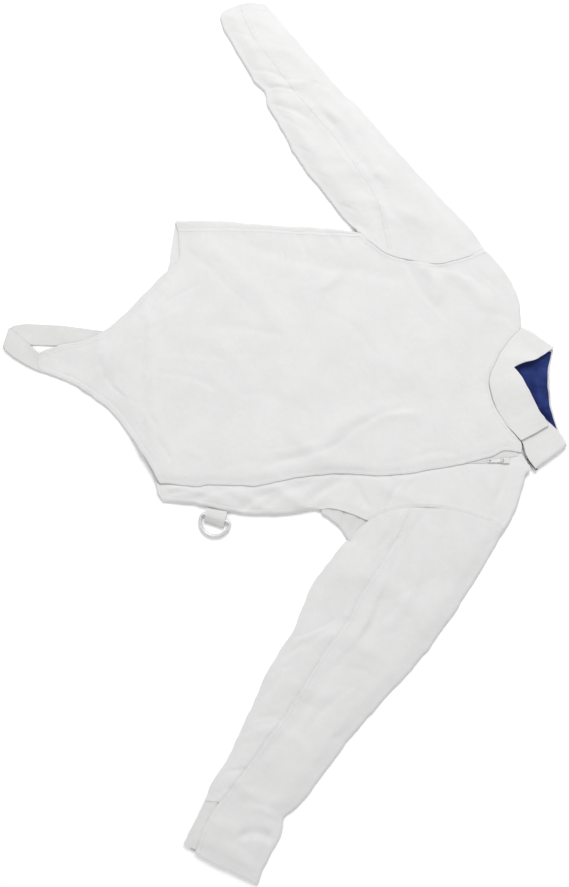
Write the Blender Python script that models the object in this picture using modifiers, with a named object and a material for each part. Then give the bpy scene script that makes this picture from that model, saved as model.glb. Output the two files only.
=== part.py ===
"""A fencing jacket laid flat with its front up.

Metres, +Z up, +Y toward the collar, +X toward the wearer's left sleeve. The
underside of the back and of the sleeves lies on z = 0. Every cloth piece is an
open surface, worked out from smooth outline curves in the plan and a height
rule, that a Solidify modifier turns into a wall. Outline points are in
millimetres.
"""
import math

import bmesh
import bpy
import numpy as np

MM = 0.001

# Cloth and webbing walls.
CLOTH = 2.8 * MM
COLLAR_WALL = 3.0 * MM
GUSSET_WALL = 1.8 * MM
LINING_WALL = 1.0 * MM
TAPE_WALL = 0.7 * MM
STRAP_WALL = 1.8 * MM
TAB_WALL = 1.6 * MM
SEAM_GAP = 0.3 * MM

# Heights of the laid-out layers, each the height of the outer face.
BODY_TOP = 8.0 * MM
LEFT_FRONT_TOP = 6.4 * MM
FLAP_TOP = 10.8 * MM
FLAP_PLATEAU = 45 * MM
FLAP_SLOPE = 60 * MM
SLEEVE_CROWN = 1.4 * MM
GUSSET_TOP = 4.9 * MM
COLLAR_TOP = 9.0 * MM
LINING_TOP = 4.4 * MM
TAPE_TOP = 7.5 * MM
EDGE_FADE = 26 * MM
FLAP_CLEAR = 6 * MM
STRIP_SLOPE = 15 * MM
TAPE_SHOWS = 16 * MM
NECK_END = 94 * MM
NECK_FADE = 25 * MM
SIDE_END = 51 * MM
SIDE_FADE = 35 * MM
SIDE_SOFT = 12 * MM
SIDE_DROP = 1.7 * MM
SIDE_LIFT = 0.4 * MM

# Folded and rolled edges. A rolled edge is upright for its last bit.
HALF_BODY = BODY_TOP / 2
ROLL = HALF_BODY - 0.2 * MM
COLLAR_ROLL = COLLAR_TOP / 2 - 0.2 * MM
UPRIGHT_WIDTH = 0.02 * MM
UPRIGHT_SHARE = 0.2
ROLL_STEPS = (0.0, UPRIGHT_WIDTH, 0.45 * MM, 1.6 * MM, ROLL)
FOLD_ANGLES = (180, 150, 120, 90, 60, 30)

# Rows, lengths and gaps that the grids share.
BODY_ROWS = 20
SIDE_CELLS = 11
ARMHOLE_CELLS = 9
LEFT_SIDE_CELLS = 8
LEFT_GUSSET_CELLS = 3
LEFT_ARMHOLE_CELLS = 9
BODY_LENGTH = 500 * MM
SLEEVE_LENGTH = 520 * MM
NECK_GAP = 1.0 * MM
SLEEVE_SEAM_GAP = 0.8 * MM
LIP_CELLS = 3
INSERT_AT = 0.862
INSERT_END = 0.993
INSERT_REACH = 17 * MM
BAND_LENGTH = 190 * MM
BAND_HEIGHT = 50 * MM

# The tongue of the front hangs past the back hem and comes down to the strap.
TONGUE_DROP = 2.9 * MM
TONGUE_SIDE_DROP = 1.8 * MM
TONGUE_SLOPE = 80 * MM
STRAP_CLEAR = 20 * MM
STRAP_SLOPE = 30 * MM
STRAP_CENTRE = [(-94, -217), (-103, -270), (-112, -334), (-114, -390)]

# Outlines in the plan, in millimetres, each running up from the hem, out along
# a sleeve, or from the wearer's right to the left.
HEM_RIGHT = [(-285, -163), (-257, -160), (-231, -162), (-208, -187), (-180, -210),
             (-148, -240), (-121, -270), (-105, -300), (-96, -338), (-84, -370)]
HEM_TIP = [(-84, -370), (-56, -369)]
HEM_LEFT = [(-56, -369), (-46, -338), (-28, -304), (5, -259), (44, -227),
            (89, -197), (118, -181)]
FRONT_SIDE = [(-285, -163), (-284, -60), (-278.5, 50), (-275.6, 123.4)]
FRONT_ARMHOLE = [(-275.6, 123.4), (-262, 137), (-242, 164), (-233, 200), (-227, 240),
                 (-245, 272), (-266, 301)]
ARMHOLE_RIGHT = [(-280, 119), (-262, 137), (-242, 164), (-233, 200), (-227, 240),
                 (-245, 272), (-266, 301)]
SHOULDER_RIGHT = [(-266, 301), (-240, 329), (-200, 355), (-162, 366), (-124, 366)]
NECK_FRONT = [(-124, 366), (-104, 347), (-72, 326), (-36, 313), (-1, 320),
              (24, 332), (42, 346), (54, 357)]
NECK_CORNER = [(54, 357), (62, 358.5), (71, 356)]
FLAP_EDGE = [(118, -181), (122, -134), (120, -95), (122, -40), (109, 27), (103, 85),
             (106, 141), (102, 192), (91, 255), (79, 308), (69, 331), (71, 356)]

LEFT_HIDDEN = [(74, -208), (80, -130), (80, -40), (66, 40), (62, 130), (56, 210),
               (42, 290), (24, 330)]
LEFT_HEM = [(74, -208), (109, -190), (133, -183), (145, -175)]
LEFT_SIDE = [(145, -175), (147, -143), (154, -108), (161, -72), (165, -35),
             (164, 10), (157, 51)]
LEFT_GUSSET_EDGE = [(157, 51), (155, 72), (161, 97), (173, 127)]
ARMHOLE_LEFT = [(173, 127), (160, 155), (155, 190), (155, 225), (161, 262),
                (172, 300), (188, 328)]
LEFT_NECK = [(24, 330), (45, 346), (71, 356), (94, 364)]
SHOULDER_LEFT = [(94, 364), (120, 360), (144, 352), (170, 340), (188, 328)]

BACK_HEM = [(-299, -166), (-266, -170), (-215, -178), (-155, -203), (-90, -216),
            (-20, -211), (50, -199), (105, -187), (145, -175)]
BACK_SIDE = [(-299, -166), (-298, -96), (-292, -34), (-288, 40), (-284, 88),
             (-280, 119)]
BACK_NECK = [(-124, 366), (-60, 363), (20, 362), (94, 364)]

# The sleeves start 1.5 mm outside the armholes.
SLEEVE_HEAD_RIGHT = [(-281.2, 120.2), (-263.1, 138.2), (-243.4, 164.6), (-234.5, 200),
                     (-228.5, 240.4), (-246.3, 271.2), (-267.3, 300.2)]
SLEEVE_HEAD_LEFT = [(174.4, 127.6), (161.4, 155.4), (156.5, 190), (156.5, 225),
                    (162.4, 261.6), (173.3, 299.4), (189.2, 327.1)]
SLEEVE_GUSSET_SEAM = [(201, 96.1), (187.1, 111), (174.4, 127.6)]

RIGHT_OUTER = [(-267.3, 300.2), (-289, 292), (-338, 247), (-413, 186), (-460, 147),
               (-517, 97), (-556, 69), (-588, 38), (-636, 3), (-676, -24)]
RIGHT_INNER = [(-281.2, 120.2), (-308, 92), (-344, 67), (-403, 25), (-465, -6),
               (-494, -22), (-520, -28), (-540, -45), (-588, -72), (-640, -98),
               (-660, -97), (-669, -84)]
RIGHT_CUFF = [(-669, -84), (-677, -55), (-676, -24)]
RIGHT_SEAM = [(-249, 164), (-319, 152), (-356, 135), (-400, 107), (-446, 76),
              (-503, 30), (-547, -1), (-591, -32), (-622, -52), (-673, -70)]

LEFT_OUTER = [(189.2, 327.1), (226, 305), (275, 273), (339, 228), (401, 175), (436, 141),
              (478, 102), (524, 66), (575, 25), (592, 4), (614, -1), (655, -23),
              (680, -32)]
LEFT_INNER = [(201, 96.1), (230, 72), (273, 42), (328, 19), (348, 7), (389, -19),
              (438, -42), (500, -70), (543, -96), (569, -108), (600, -123),
              (630, -138)]
LEFT_CUFF = [(630, -138), (655, -85), (680, -32)]
LEFT_SEAM = [(162, 186), (187, 173), (228, 151), (278, 116), (324, 90), (373, 54),
             (433, 17), (479, -17), (544, -65), (591, -102), (641, -122)]

GUSSET_TUCK = [(149, 58), (146, 78), (152, 102), (165, 125)]
GUSSET_FOLD = [(163, 59), (174, 74), (188, 89), (199, 94)]
GUSSET_LOW = [(157.8, 60), (157, 73), (162.6, 97), (174.2, 125)]

COLLAR_FOLD = [(-124, 366), (-119, 380), (-108, 394), (-92, 415)]
COLLAR_FOLD_LOW = [(-124, 367.5), (-119, 380), (-108, 394), (-92, 415)]
COLLAR_EDGE_RIGHT = [(-92, 415), (-81, 399), (-69, 382), (-64, 362), (-58, 351)]
COLLAR_EDGE_LEFT = [(-58, 351), (-44, 361), (-6, 378), (31, 399)]
COLLAR_END = [(54, 357), (31, 399)]
COLLAR_BACK_SEAM = [(-124, 367.5), (-60, 364.5), (20, 363.5), (97, 378)]
COLLAR_BACK_EDGE = [(-92, 415), (-60, 408), (-20, 406), (20, 411), (61, 426)]
COLLAR_LEFT_FOLD = [(97, 378), (61, 426)]
COLLAR_WRAP_LOW = [(97, 378), (76, 364), (58, 360.5), (41, 352)]
COLLAR_WRAP_HIGH = [(61, 426), (41, 416), (16, 390)]
COLLAR_WRAP_END = [(41, 352), (16, 390)]
LINING_LOW = [(-92, 340), (-50, 334), (0, 338), (44, 352)]
LINING_HIGH = [(-84, 410), (-55, 403.5), (-20, 402), (18, 407), (52, 419)]
LINING_RIGHT = [(-92, 340), (-106, 368), (-84, 410)]
LINING_LEFT = [(44, 352), (78, 380), (52, 419)]

# Heights of the collar's front band, in millimetres, by the share of its length
# from the fold at the right to its free end.
# share, height
BAND_FOOT = [(0.0, 9.0), (0.2, 9.0), (0.8, 10.6), (1.0, 12.8)]
BAND_RISE = [(0.0, 9.0), (0.12, 12.0), (0.28, 17.5), (0.43, 14.0), (0.62, 19.0),
             (0.85, 15.5), (1.0, 13.0)]

# Largest folds: a soft ridge, or a trough where the height is below zero,
# along a line from (x0, y0) to (x1, y1) that bows sideways by bow.
# name, x0, y0, x1, y1, bow, half width, height, all in millimetres
BODY_FOLDS = [
    ("tongue_break", -158, -208, 45, -196, 6, 20, 2.2),
    ("tongue_arc", -124, -285, -20, -300, 18, 16, 1.6),
    ("waist_right", -255, -120, -150, -20, 10, 26, 2.0),
    ("waist_left", 40, 10, 90, 110, -12, 24, 2.2),
    ("chest_left", 45, 70, 10, 200, 14, 22, 2.6),
    ("armhole_right_a", -222, 214, -170, 240, 8, 18, 3.2),
    ("armhole_right_b", -212, 262, -150, 318, 6, 18, 3.0),
    ("armpit_right", -262, 96, -190, 70, 10, 18, 2.6),
    ("centre_low", -110, -120, -20, -40, 16, 30, 1.6),
    ("centre_high", -120, 120, -40, 230, -18, 34, 1.8),
]
LEFT_FOLDS = [
    ("drag_a", 124, -150, 152, -70, 4, 12, 1.4),
    ("drag_b", 126, -90, 160, -20, 4, 13, 1.8),
    ("drag_c", 122, -20, 158, 40, 4, 13, 1.8),
    ("front_armhole", 118, 150, 150, 230, -8, 18, 2.4),
    ("front_shoulder", 106, 300, 160, 312, 6, 18, 2.0),
]
RIGHT_SLEEVE_FOLDS = [
    ("head", -262, 268, -300, 160, -16, 22, 3.2),
    ("armpit_a", -330, 100, -300, 210, 10, 18, 3.6),
    ("armpit_b", -368, 62, -362, 180, 14, 20, 3.4),
    ("upper", -430, 40, -398, 150, -12, 22, 2.6),
    ("elbow_a", -500, -14, -470, 90, 10, 16, 4.0),
    ("elbow_b", -532, -22, -540, 55, -8, 15, 4.4),
    ("fore", -590, -52, -578, 22, 8, 18, 2.8),
    ("cuff", -640, -80, -630, -16, 6, 16, 2.0),
]
LEFT_SLEEVE_FOLDS = [
    ("gather_a", 182, 150, 262, 106, 4, 15, 3.0),
    ("gather_b", 172, 206, 262, 190, 8, 16, 3.2),
    ("head", 190, 250, 250, 270, -8, 20, 2.6),
    ("upper", 250, 78, 300, 190, 14, 22, 3.4),
    ("elbow_a", 340, 30, 372, 140, 12, 20, 3.8),
    ("elbow_b", 398, 0, 424, 90, -10, 18, 3.2),
    ("fore_a", 470, -40, 500, 40, 8, 18, 2.8),
    ("fore_b", 540, -70, 572, 0, -8, 16, 3.4),
    ("cuff", 600, -96, 628, -20, 6, 15, 3.0),
]

# The webbing that runs from the back hem, folds over and comes up to the tip.
# name, x and y of the two sides of the row, height of the outer face, in mm
STRAP_ROWS = [
    ("back_hem", -110, -215.2, -78, -218.2, 0.0),
    ("under_tongue", -119, -270, -87, -268, 0.0),
    ("middle", -128, -335, -96, -332, 0.0),
    ("end", -131, -392, -98, -388, 0.0),
    ("before_fold", -128, -412, -96, -420, 0.0),
]
STRAP_FOLD = ("fold", -124.5, -418, -95, -426, 4.4)
STRAP_RETURN_ROWS = [
    ("after_fold", -120, -412, -89, -421, 4.4),
    ("crossing", -108, -398, -79, -409, 4.4),
    ("leaving", -97, -384, -66, -388, 3.9),
    ("tip", -84.3, -371.2, -56.3, -370.2, 3.2),
]

# The D-ring hangs in a webbing tab at the left side. Its frame is the middle of
# its straight bar, the bar's direction and the direction out of the jacket.
RING_BAR = (169 * MM, -96.5 * MM)
RING_TURN = math.radians(19)
RING_WIRE = 2.2 * MM
RING_HALF_WIDTH = 22.2 * MM
RING_DEPTH = 27.4 * MM
RING_CORNER = 5 * MM
RING_LIE = math.radians(3.6)
TAB_WIDTH = 30 * MM
TAB_BEYOND_BAR = 11 * MM
RING_BAR_HEIGHT = 4.1 * MM
TAB_ROOT = [(154.1, -110.6), (159.8, -80.6)]
# share of the way from the jacket to the loop's end, height of the outer face in mm
TAB_PROFILE = [(0.0, 5.4), (0.26, 7.3), (0.48, 8.4), (0.62, 8.3), (0.78, 6.6),
               (0.92, 4.7), (0.985, 3.5), (1.0, 2.3), (0.985, 1.0), (0.93, 0.15),
               (0.85, 0.0), (0.5, 0.0), (0.0, 0.0)]

# The zip's slider and pull tab at the top of the flap edge.
SLIDER_AT = (84 * MM, 334 * MM)
SLIDER_SIZE = (8.5 * MM, 9 * MM, 2.6 * MM)
PULL_LENGTH = 19 * MM
PULL_WIDTH = 5.8 * MM
PULL_PLATE = 1.2 * MM
PIN_RADIUS = 0.6 * MM
EYE_RADIUS = 1.7 * MM
EYE_BORE = 1.0 * MM
EYE_LENGTH = 3.4 * MM
PIN_HEIGHT = 9.8 * MM
PULL_DROP = 0.7 * MM
EAR_WALL = 1.1 * MM
EAR_GAP = 0.35 * MM
EAR_REACH = 2.4 * MM
EAR_NOSE = 0.8 * MM
PLATE_START = 1.5 * MM
# share of the flap edge's length, how far outside that edge the tape's middle lies, mm
TAPE_SHIFT = [(0.0, -12), (0.8, -12), (0.93, 4), (1.0, 3)]

# Base colours, roughness and metallic values.
FINISHES = {
    "cloth": ((0.80, 0.81, 0.82), 0.85, 0.0),
    "webbing": ((0.70, 0.71, 0.71), 0.80, 0.0),
    "lining": ((0.020, 0.032, 0.130), 0.75, 0.0),
    "elastic": ((0.66, 0.67, 0.68), 0.85, 0.0),
    "metal": ((0.56, 0.57, 0.58), 0.30, 1.0),
    "zip": ((0.62, 0.63, 0.64), 0.45, 0.0),
}


def clear_scene():
    """Remove every object that the file starts with."""
    for item in list(bpy.data.objects):
        bpy.data.objects.remove(item, do_unlink=True)


def new_collection(name, hidden=False):
    """Make a collection in the scene."""
    group = bpy.data.collections.new(name)
    bpy.context.scene.collection.children.link(group)
    group.hide_render = hidden
    return group


def finish(name):
    """Make a Principled material from the table of finishes."""
    colour, roughness, metallic = FINISHES[name]
    material = bpy.data.materials.new(name)
    material.use_nodes = True
    shader = material.node_tree.nodes["Principled BSDF"]
    shader.inputs["Base Color"].default_value = (*colour, 1.0)
    shader.inputs["Roughness"].default_value = roughness
    shader.inputs["Metallic"].default_value = metallic
    material.diffuse_color = (*colour, 1.0)
    return material


def smoothstep(value):
    """Rise smoothly from 0 to 1 as value goes from 0 to 1."""
    t = np.clip(value, 0.0, 1.0)
    return t * t * (3.0 - 2.0 * t)


def smooth_line(points, steps=16):
    """Points along a Catmull-Rom curve through an outline, in metres."""
    base = np.array(points, float) * MM
    if len(base) == 2:
        share = np.linspace(0.0, 1.0, steps + 1)[:, None]
        return base[0] + (base[1] - base[0]) * share
    ends = np.vstack([2 * base[0] - base[1], base, 2 * base[-1] - base[-2]])
    line = []
    for before, start, stop, after in zip(ends, ends[1:], ends[2:], ends[3:]):
        for t in np.arange(steps) / steps:
            line.append(0.5 * (2 * start + (stop - before) * t
                               + (2 * before - 5 * start + 4 * stop - after) * t ** 2
                               + (3 * start - 3 * stop + after - before) * t ** 3))
    line.append(base[-1])
    return np.array(line)


class Border:
    """One side of a patch: outlines in a row, each taking a share of the side."""

    def __init__(self, *parts):
        self.lines = [smooth_line(points) for points, _ in parts]
        shares = np.array([share for _, share in parts], float)
        self.stops = np.concatenate([[0.0], np.cumsum(shares) / shares.sum()])
        self.lengths = [self._lengths(line) for line in self.lines]

    @staticmethod
    def _lengths(line):
        steps = np.linalg.norm(np.diff(line, axis=0), axis=1)
        return np.concatenate([[0.0], np.cumsum(steps)])

    def at(self, share):
        """The point at a share, from 0 to 1, of the border."""
        index = int(np.clip(np.searchsorted(self.stops, share, "right") - 1,
                            0, len(self.lines) - 1))
        low, high = self.stops[index], self.stops[index + 1]
        along = (share - low) / (high - low) * self.lengths[index][-1]
        line = self.lines[index]
        return np.array([np.interp(along, self.lengths[index], line[:, axis])
                         for axis in (0, 1)])

    def all_points(self):
        """Every point of the border as one line."""
        return np.vstack(self.lines)


class Patch:
    """A plan surface between four borders: low and high, right and left."""

    def __init__(self, low, high, right, left):
        self.low, self.high, self.right, self.left = low, high, right, left

    def at(self, up, across):
        """The plan point at a share up the patch and a share across it."""
        low, high = self.low.at(across), self.high.at(across)
        right, left = self.right.at(up), self.left.at(up)
        corners = ((1 - up) * ((1 - across) * self.low.at(0) + across * self.low.at(1))
                   + up * ((1 - across) * self.high.at(0) + across * self.high.at(1)))
        return (1 - up) * low + up * high + (1 - across) * right + across * left - corners

    def width(self, up):
        """Straight distance across the patch at a share up it."""
        return float(np.linalg.norm(self.left.at(up) - self.right.at(up)))


def distance_to(line, points):
    """Least plan distance from each point to a line."""
    points = np.atleast_2d(points)
    start, span = line[:-1], np.diff(line, axis=0)
    size = np.maximum((span ** 2).sum(axis=1), 1e-18)
    offset = points[:, None, :] - start[None]
    share = np.clip((offset * span[None]).sum(axis=2) / size, 0.0, 1.0)
    nearest = start[None] + share[..., None] * span[None]
    return np.linalg.norm(points[:, None, :] - nearest, axis=2).min(axis=1)


def beyond(line, point):
    """Signed distance of a point below a line that runs along x."""
    edge = np.interp(point[0], line[:, 0], line[:, 1])
    return edge - point[1]


def fold_height(folds, point):
    """Height that the table's ridges and troughs add at a plan point."""
    total = 0.0
    for _, x0, y0, x1, y1, bow, half_width, height in folds:
        start, stop = np.array([x0, y0]) * MM, np.array([x1, y1]) * MM
        span = stop - start
        length = float(np.linalg.norm(span))
        along = span / length
        side = np.array([-along[1], along[0]])
        share = float((point - start) @ along) / length
        bend = bow * MM * 4 * share * (1 - share)
        off = float((point - start) @ side) - bend
        ends = smoothstep((share + 0.25) / 0.4) * smoothstep((1.25 - share) / 0.4)
        total += height * MM * math.exp(-(off / (half_width * MM * 0.6)) ** 2) * ends
    return float(total)


def round_down(distance, radius):
    """Drop of a face as it rolls over a folded edge, upright for its last bit."""
    if distance <= UPRIGHT_WIDTH:
        rise = UPRIGHT_SHARE * max(distance, 0.0) / UPRIGHT_WIDTH
    else:
        t = min((distance - UPRIGHT_WIDTH) / (radius - UPRIGHT_WIDTH), 1.0)
        rise = UPRIGHT_SHARE + (1 - UPRIGHT_SHARE) * math.sqrt(1 - (1 - t) ** 2)
    return radius * (1 - rise)


def line_of(*outlines):
    """The smooth line through outlines that follow each other."""
    return np.vstack([smooth_line(points) for points in outlines])


FLAP_LINE = line_of(FLAP_EDGE)
BACK_HEM_LINE = line_of(BACK_HEM)
STRAP_LINE = np.array(STRAP_CENTRE) * MM
SHOULDER_RIGHT_LINE = line_of(SHOULDER_RIGHT)
SHOULDER_LEFT_LINE = line_of(SHOULDER_LEFT)
LEFT_SIDE_LINE = line_of(LEFT_SIDE)
COLLAR_FOLD_LINE = line_of(COLLAR_FOLD)
COLLAR_FOLD_LOW_LINE = line_of(COLLAR_FOLD_LOW)


def nearest(plan, *lines):
    """Least distance from a plan point to any of the lines."""
    return min(float(distance_to(line, plan)[0]) for line in lines)


def left_roll(plan):
    """Drop of a face at the left shoulder, which lies open by the neck."""
    shoulder = round_down(nearest(plan, SHOULDER_LEFT_LINE), ROLL)
    return shoulder * float(smoothstep((plan[0] - NECK_END) / NECK_FADE))


def side_share(plan):
    """From 1 at the left side seam to 0 inside the panel and at the gusset."""
    inside = max(1 - nearest(plan, LEFT_SIDE_LINE) / SIDE_SOFT, 0.0)
    return inside ** 2 * float(smoothstep((SIDE_END - plan[1]) / SIDE_FADE))


def main_front_height(plan):
    """Outer face of the right front, with its flap over the left front."""
    past = float(smoothstep(beyond(BACK_HEM_LINE, plan) / TONGUE_SLOPE))
    flap = float(smoothstep((nearest(plan, FLAP_LINE) - FLAP_PLATEAU) / FLAP_SLOPE))
    rise = (FLAP_TOP - BODY_TOP) * (1 - flap) * (1 - past)
    aside = float(smoothstep((nearest(plan, STRAP_LINE) - STRAP_CLEAR) / STRAP_SLOPE))
    drop = past * (TONGUE_DROP + TONGUE_SIDE_DROP * aside)
    shoulder = nearest(plan, SHOULDER_RIGHT_LINE)
    folds = fold_height(BODY_FOLDS, plan) * float(smoothstep(shoulder / EDGE_FADE))
    return BODY_TOP + rise - drop + folds - round_down(shoulder, ROLL)


def left_front_height(plan):
    """Outer face of the left front, low where the flap lies on it."""
    flap = nearest(plan, FLAP_LINE)
    edge = nearest(plan, LEFT_SIDE_LINE, SHOULDER_LEFT_LINE)
    height = LEFT_FRONT_TOP - left_roll(plan) - SIDE_DROP * side_share(plan)
    if plan[0] > np.interp(plan[1], FLAP_LINE[:, 1], FLAP_LINE[:, 0]):
        tape = np.interp(plan[1], (280 * MM, 306 * MM), (0.0, TAPE_SHOWS))
        clear = float(smoothstep((flap - FLAP_CLEAR - tape) / STRIP_SLOPE))
        folds = fold_height(LEFT_FOLDS, plan) * float(smoothstep(edge / (12 * MM)))
        height += (BODY_TOP - LEFT_FRONT_TOP + folds) * clear
    return height


def add_mesh(name, vertices, faces, material, group):
    """Put a mesh object in a collection."""
    mesh = bpy.data.meshes.new(name)
    mesh.from_pydata([tuple(map(float, v)) for v in vertices], [], faces)
    mesh.materials.append(material)
    item = bpy.data.objects.new(name, mesh)
    group.objects.link(item)
    return item


def sheet(name, rows, wall, material, group, faces_up=True, keep=None):
    """A wall of cloth: a grid of outer points, thickened away from its outer face."""
    width = len(rows[0])
    vertices = [point for row in rows for point in row]
    faces = []
    for i in range(len(rows) - 1):
        for j in range(width - 1):
            if keep is None or keep(i, j):
                a, b = i * width + j, i * width + j + 1
                c, d = a + width, b + width
                faces.append((a, b, d, c) if faces_up else (a, c, d, b))
    item = add_mesh(name, vertices, faces, material, group)
    tidy = bmesh.new()
    tidy.from_mesh(item.data)
    loose = [vert for vert in tidy.verts if not vert.link_faces]
    bmesh.ops.delete(tidy, geom=loose, context="VERTS")
    tidy.to_mesh(item.data)
    tidy.free()
    item.data.shade_smooth()
    solid = item.modifiers.new("wall", "SOLIDIFY")
    solid.thickness = wall
    solid.offset = -1.0
    solid.use_even_offset = True
    solid.use_quality_normals = True
    return item


def spread(cells, start=0.0, stop=1.0):
    """Even shares from start to stop."""
    return list(np.linspace(start, stop, cells + 1))


def roll_in(length):
    """Shares of a length, from its end inward, at the turns of a rolled edge."""
    return [step / length for step in ROLL_STEPS]


def roll_out(length):
    """Shares that end at 1, at the turns of an edge rolled at the far end."""
    return [1 - share for share in reversed(roll_in(length))]


def soft_out(length):
    """Shares that end at 1, closer together where a face bends down to a side seam."""
    return [1 - step * SIDE_SOFT / length for step in (1.0, 0.6, 0.3, 0.1, 0.0)]


def body_rows():
    """Shares up the body, closer together at the shoulders' rolled edge."""
    return spread(BODY_ROWS)[:-1] + roll_out(BODY_LENGTH)


def half_turn(angle, radius):
    """Inward distance and height on a full fold, from 0 below to 180 on top."""
    turn = math.radians(angle)
    return radius * (1 - math.sin(turn)), radius * (1 - math.cos(turn))


def make_front_main(material, group):
    """Right front: hem with its tongue, side, armhole, shoulder, neck and flap."""
    patch = Patch(Border((HEM_RIGHT, 9), (HEM_TIP, 2), (HEM_LEFT, 9)),
                  Border((SHOULDER_RIGHT, 7), (NECK_FRONT, 12), (NECK_CORNER, 1)),
                  Border((FRONT_SIDE, SIDE_CELLS), (FRONT_ARMHOLE, ARMHOLE_CELLS)),
                  Border((FLAP_EDGE, 1)))
    rows = []
    for up in body_rows():
        plans = [patch.at(up, across) for across in spread(20)]
        rows.append([(*plan, main_front_height(plan)) for plan in plans])
    return sheet("front_main", rows, CLOTH, material, group)


def left_outline():
    """The border that both fronts' left side and the back share."""
    return Border((LEFT_SIDE, LEFT_SIDE_CELLS), (LEFT_GUSSET_EDGE, LEFT_GUSSET_CELLS),
                  (ARMHOLE_LEFT, LEFT_ARMHOLE_CELLS))


def make_front_left(material, group):
    """Left front under the flap, with the strip that shows beside it."""
    patch = Patch(Border((LEFT_HEM, 1)), Border((LEFT_NECK, 4), (SHOULDER_LEFT, 6)),
                  Border((LEFT_HIDDEN, 1)),
                  left_outline())
    rows = []
    for up in body_rows():
        turns = soft_out(patch.width(up))
        plans = [patch.at(up, across) for across in spread(7, 0.0, turns[0])[:-1] + turns]
        rows.append([(*plan, left_front_height(plan)) for plan in plans])
    return sheet("front_left", rows, CLOTH, material, group)


def make_back(material, group):
    """Back: flat on the floor, folded onto the front along the right side."""
    patch = Patch(Border((BACK_HEM, 1)),
                  Border((SHOULDER_RIGHT, 5), (BACK_NECK, 6), (SHOULDER_LEFT, 4)),
                  Border((BACK_SIDE, SIDE_CELLS), (ARMHOLE_RIGHT, ARMHOLE_CELLS)),
                  left_outline())
    seam = Border((FRONT_SIDE, 1))
    armpit = SIDE_CELLS / BODY_ROWS
    rows = []
    for up in body_rows():
        width = patch.width(up)
        outline = patch.right.at(up)
        reach = seam.at(min(up / armpit, 1.0)) - outline
        lip = float(np.linalg.norm(reach)) - SEAM_GAP
        inward_way = reach / np.linalg.norm(reach)
        row = [(*(outline + inward_way * inward), BODY_TOP)
               for inward in (lip, (lip + HALF_BODY) / 2)]
        for angle in FOLD_ANGLES:
            inward, height = half_turn(angle, HALF_BODY)
            row.append((*(outline + inward_way * inward), height))
        turns = soft_out(width)
        for across in spread(8, HALF_BODY / width, turns[0])[:-1] + turns:
            plan = patch.at(up, across)
            right = round_down(nearest(plan, SHOULDER_RIGHT_LINE), ROLL)
            lift = max(right, left_roll(plan)) + SIDE_LIFT * side_share(plan)
            row.append((*plan, lift))
        rows.append(row)
    first_flat = 2 + len(FOLD_ANGLES)
    return sheet("back_panel", rows, CLOTH, material, group, faces_up=False,
                 keep=lambda i, j: j >= first_flat or i < SIDE_CELLS)


class Sleeve:
    """A sleeve laid flat: a tube whose plan runs from the armhole to the cuff."""

    def __init__(self, armhole, cuff, inner, outer, seam, folds):
        self.patch = Patch(armhole, cuff, inner, outer)
        self.seam_line = smooth_line(seam)
        self.folds = folds
        self.edges = [inner.all_points(), outer.all_points()]

    def top(self, plan):
        """Outer face of the upper layer at a plan point."""
        fade = float(smoothstep((nearest(plan, *self.edges) - HALF_BODY) / EDGE_FADE))
        return BODY_TOP + fade * (SLEEVE_CROWN + fold_height(self.folds, plan))

    def seam_share(self, along):
        """Share across the sleeve where the seam on its upper face runs."""
        shares = np.linspace(0.02, 0.7, 137)
        points = np.array([self.patch.at(along, share) for share in shares])
        return float(shares[int(np.argmin(distance_to(self.seam_line, points)))])


def sleeve_over_rows(sleeve, alongs):
    """Upper face from the seam to the outer edge, rolled down at that edge."""
    rows = []
    for along in alongs:
        width = sleeve.patch.width(along)
        turns = roll_out(width)
        start = sleeve.seam_share(along) + SLEEVE_SEAM_GAP / width
        row = []
        for across in spread(7, start, turns[0])[:-1] + turns:
            plan = sleeve.patch.at(along, across)
            drop = round_down((1 - across) * width, ROLL)
            row.append((*plan, sleeve.top(plan) - drop))
        rows.append(row)
    return rows


def sleeve_under_rows(sleeve, alongs, first_flats, flat_cells):
    """From the seam round the inner edge and along the floor to the outer edge."""
    rows = []
    for along in alongs:
        width = sleeve.patch.width(along)
        row = []
        for across in spread(LIP_CELLS, sleeve.seam_share(along), HALF_BODY / width):
            plan = sleeve.patch.at(along, across)
            row.append((*plan, sleeve.top(plan)))
        for angle in FOLD_ANGLES[1:]:
            inward, height = half_turn(angle, HALF_BODY)
            row.append((*sleeve.patch.at(along, inward / width), height))
        flats = [inward / width for inward in first_flats]
        if flat_cells:
            turns = roll_out(width)
            flats += spread(flat_cells, flats[-1], turns[0])[1:-1] + turns
        for across in flats:
            lift = round_down((1 - across) * width, ROLL)
            row.append((*sleeve.patch.at(along, across), lift))
        rows.append(row)
    return rows


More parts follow.
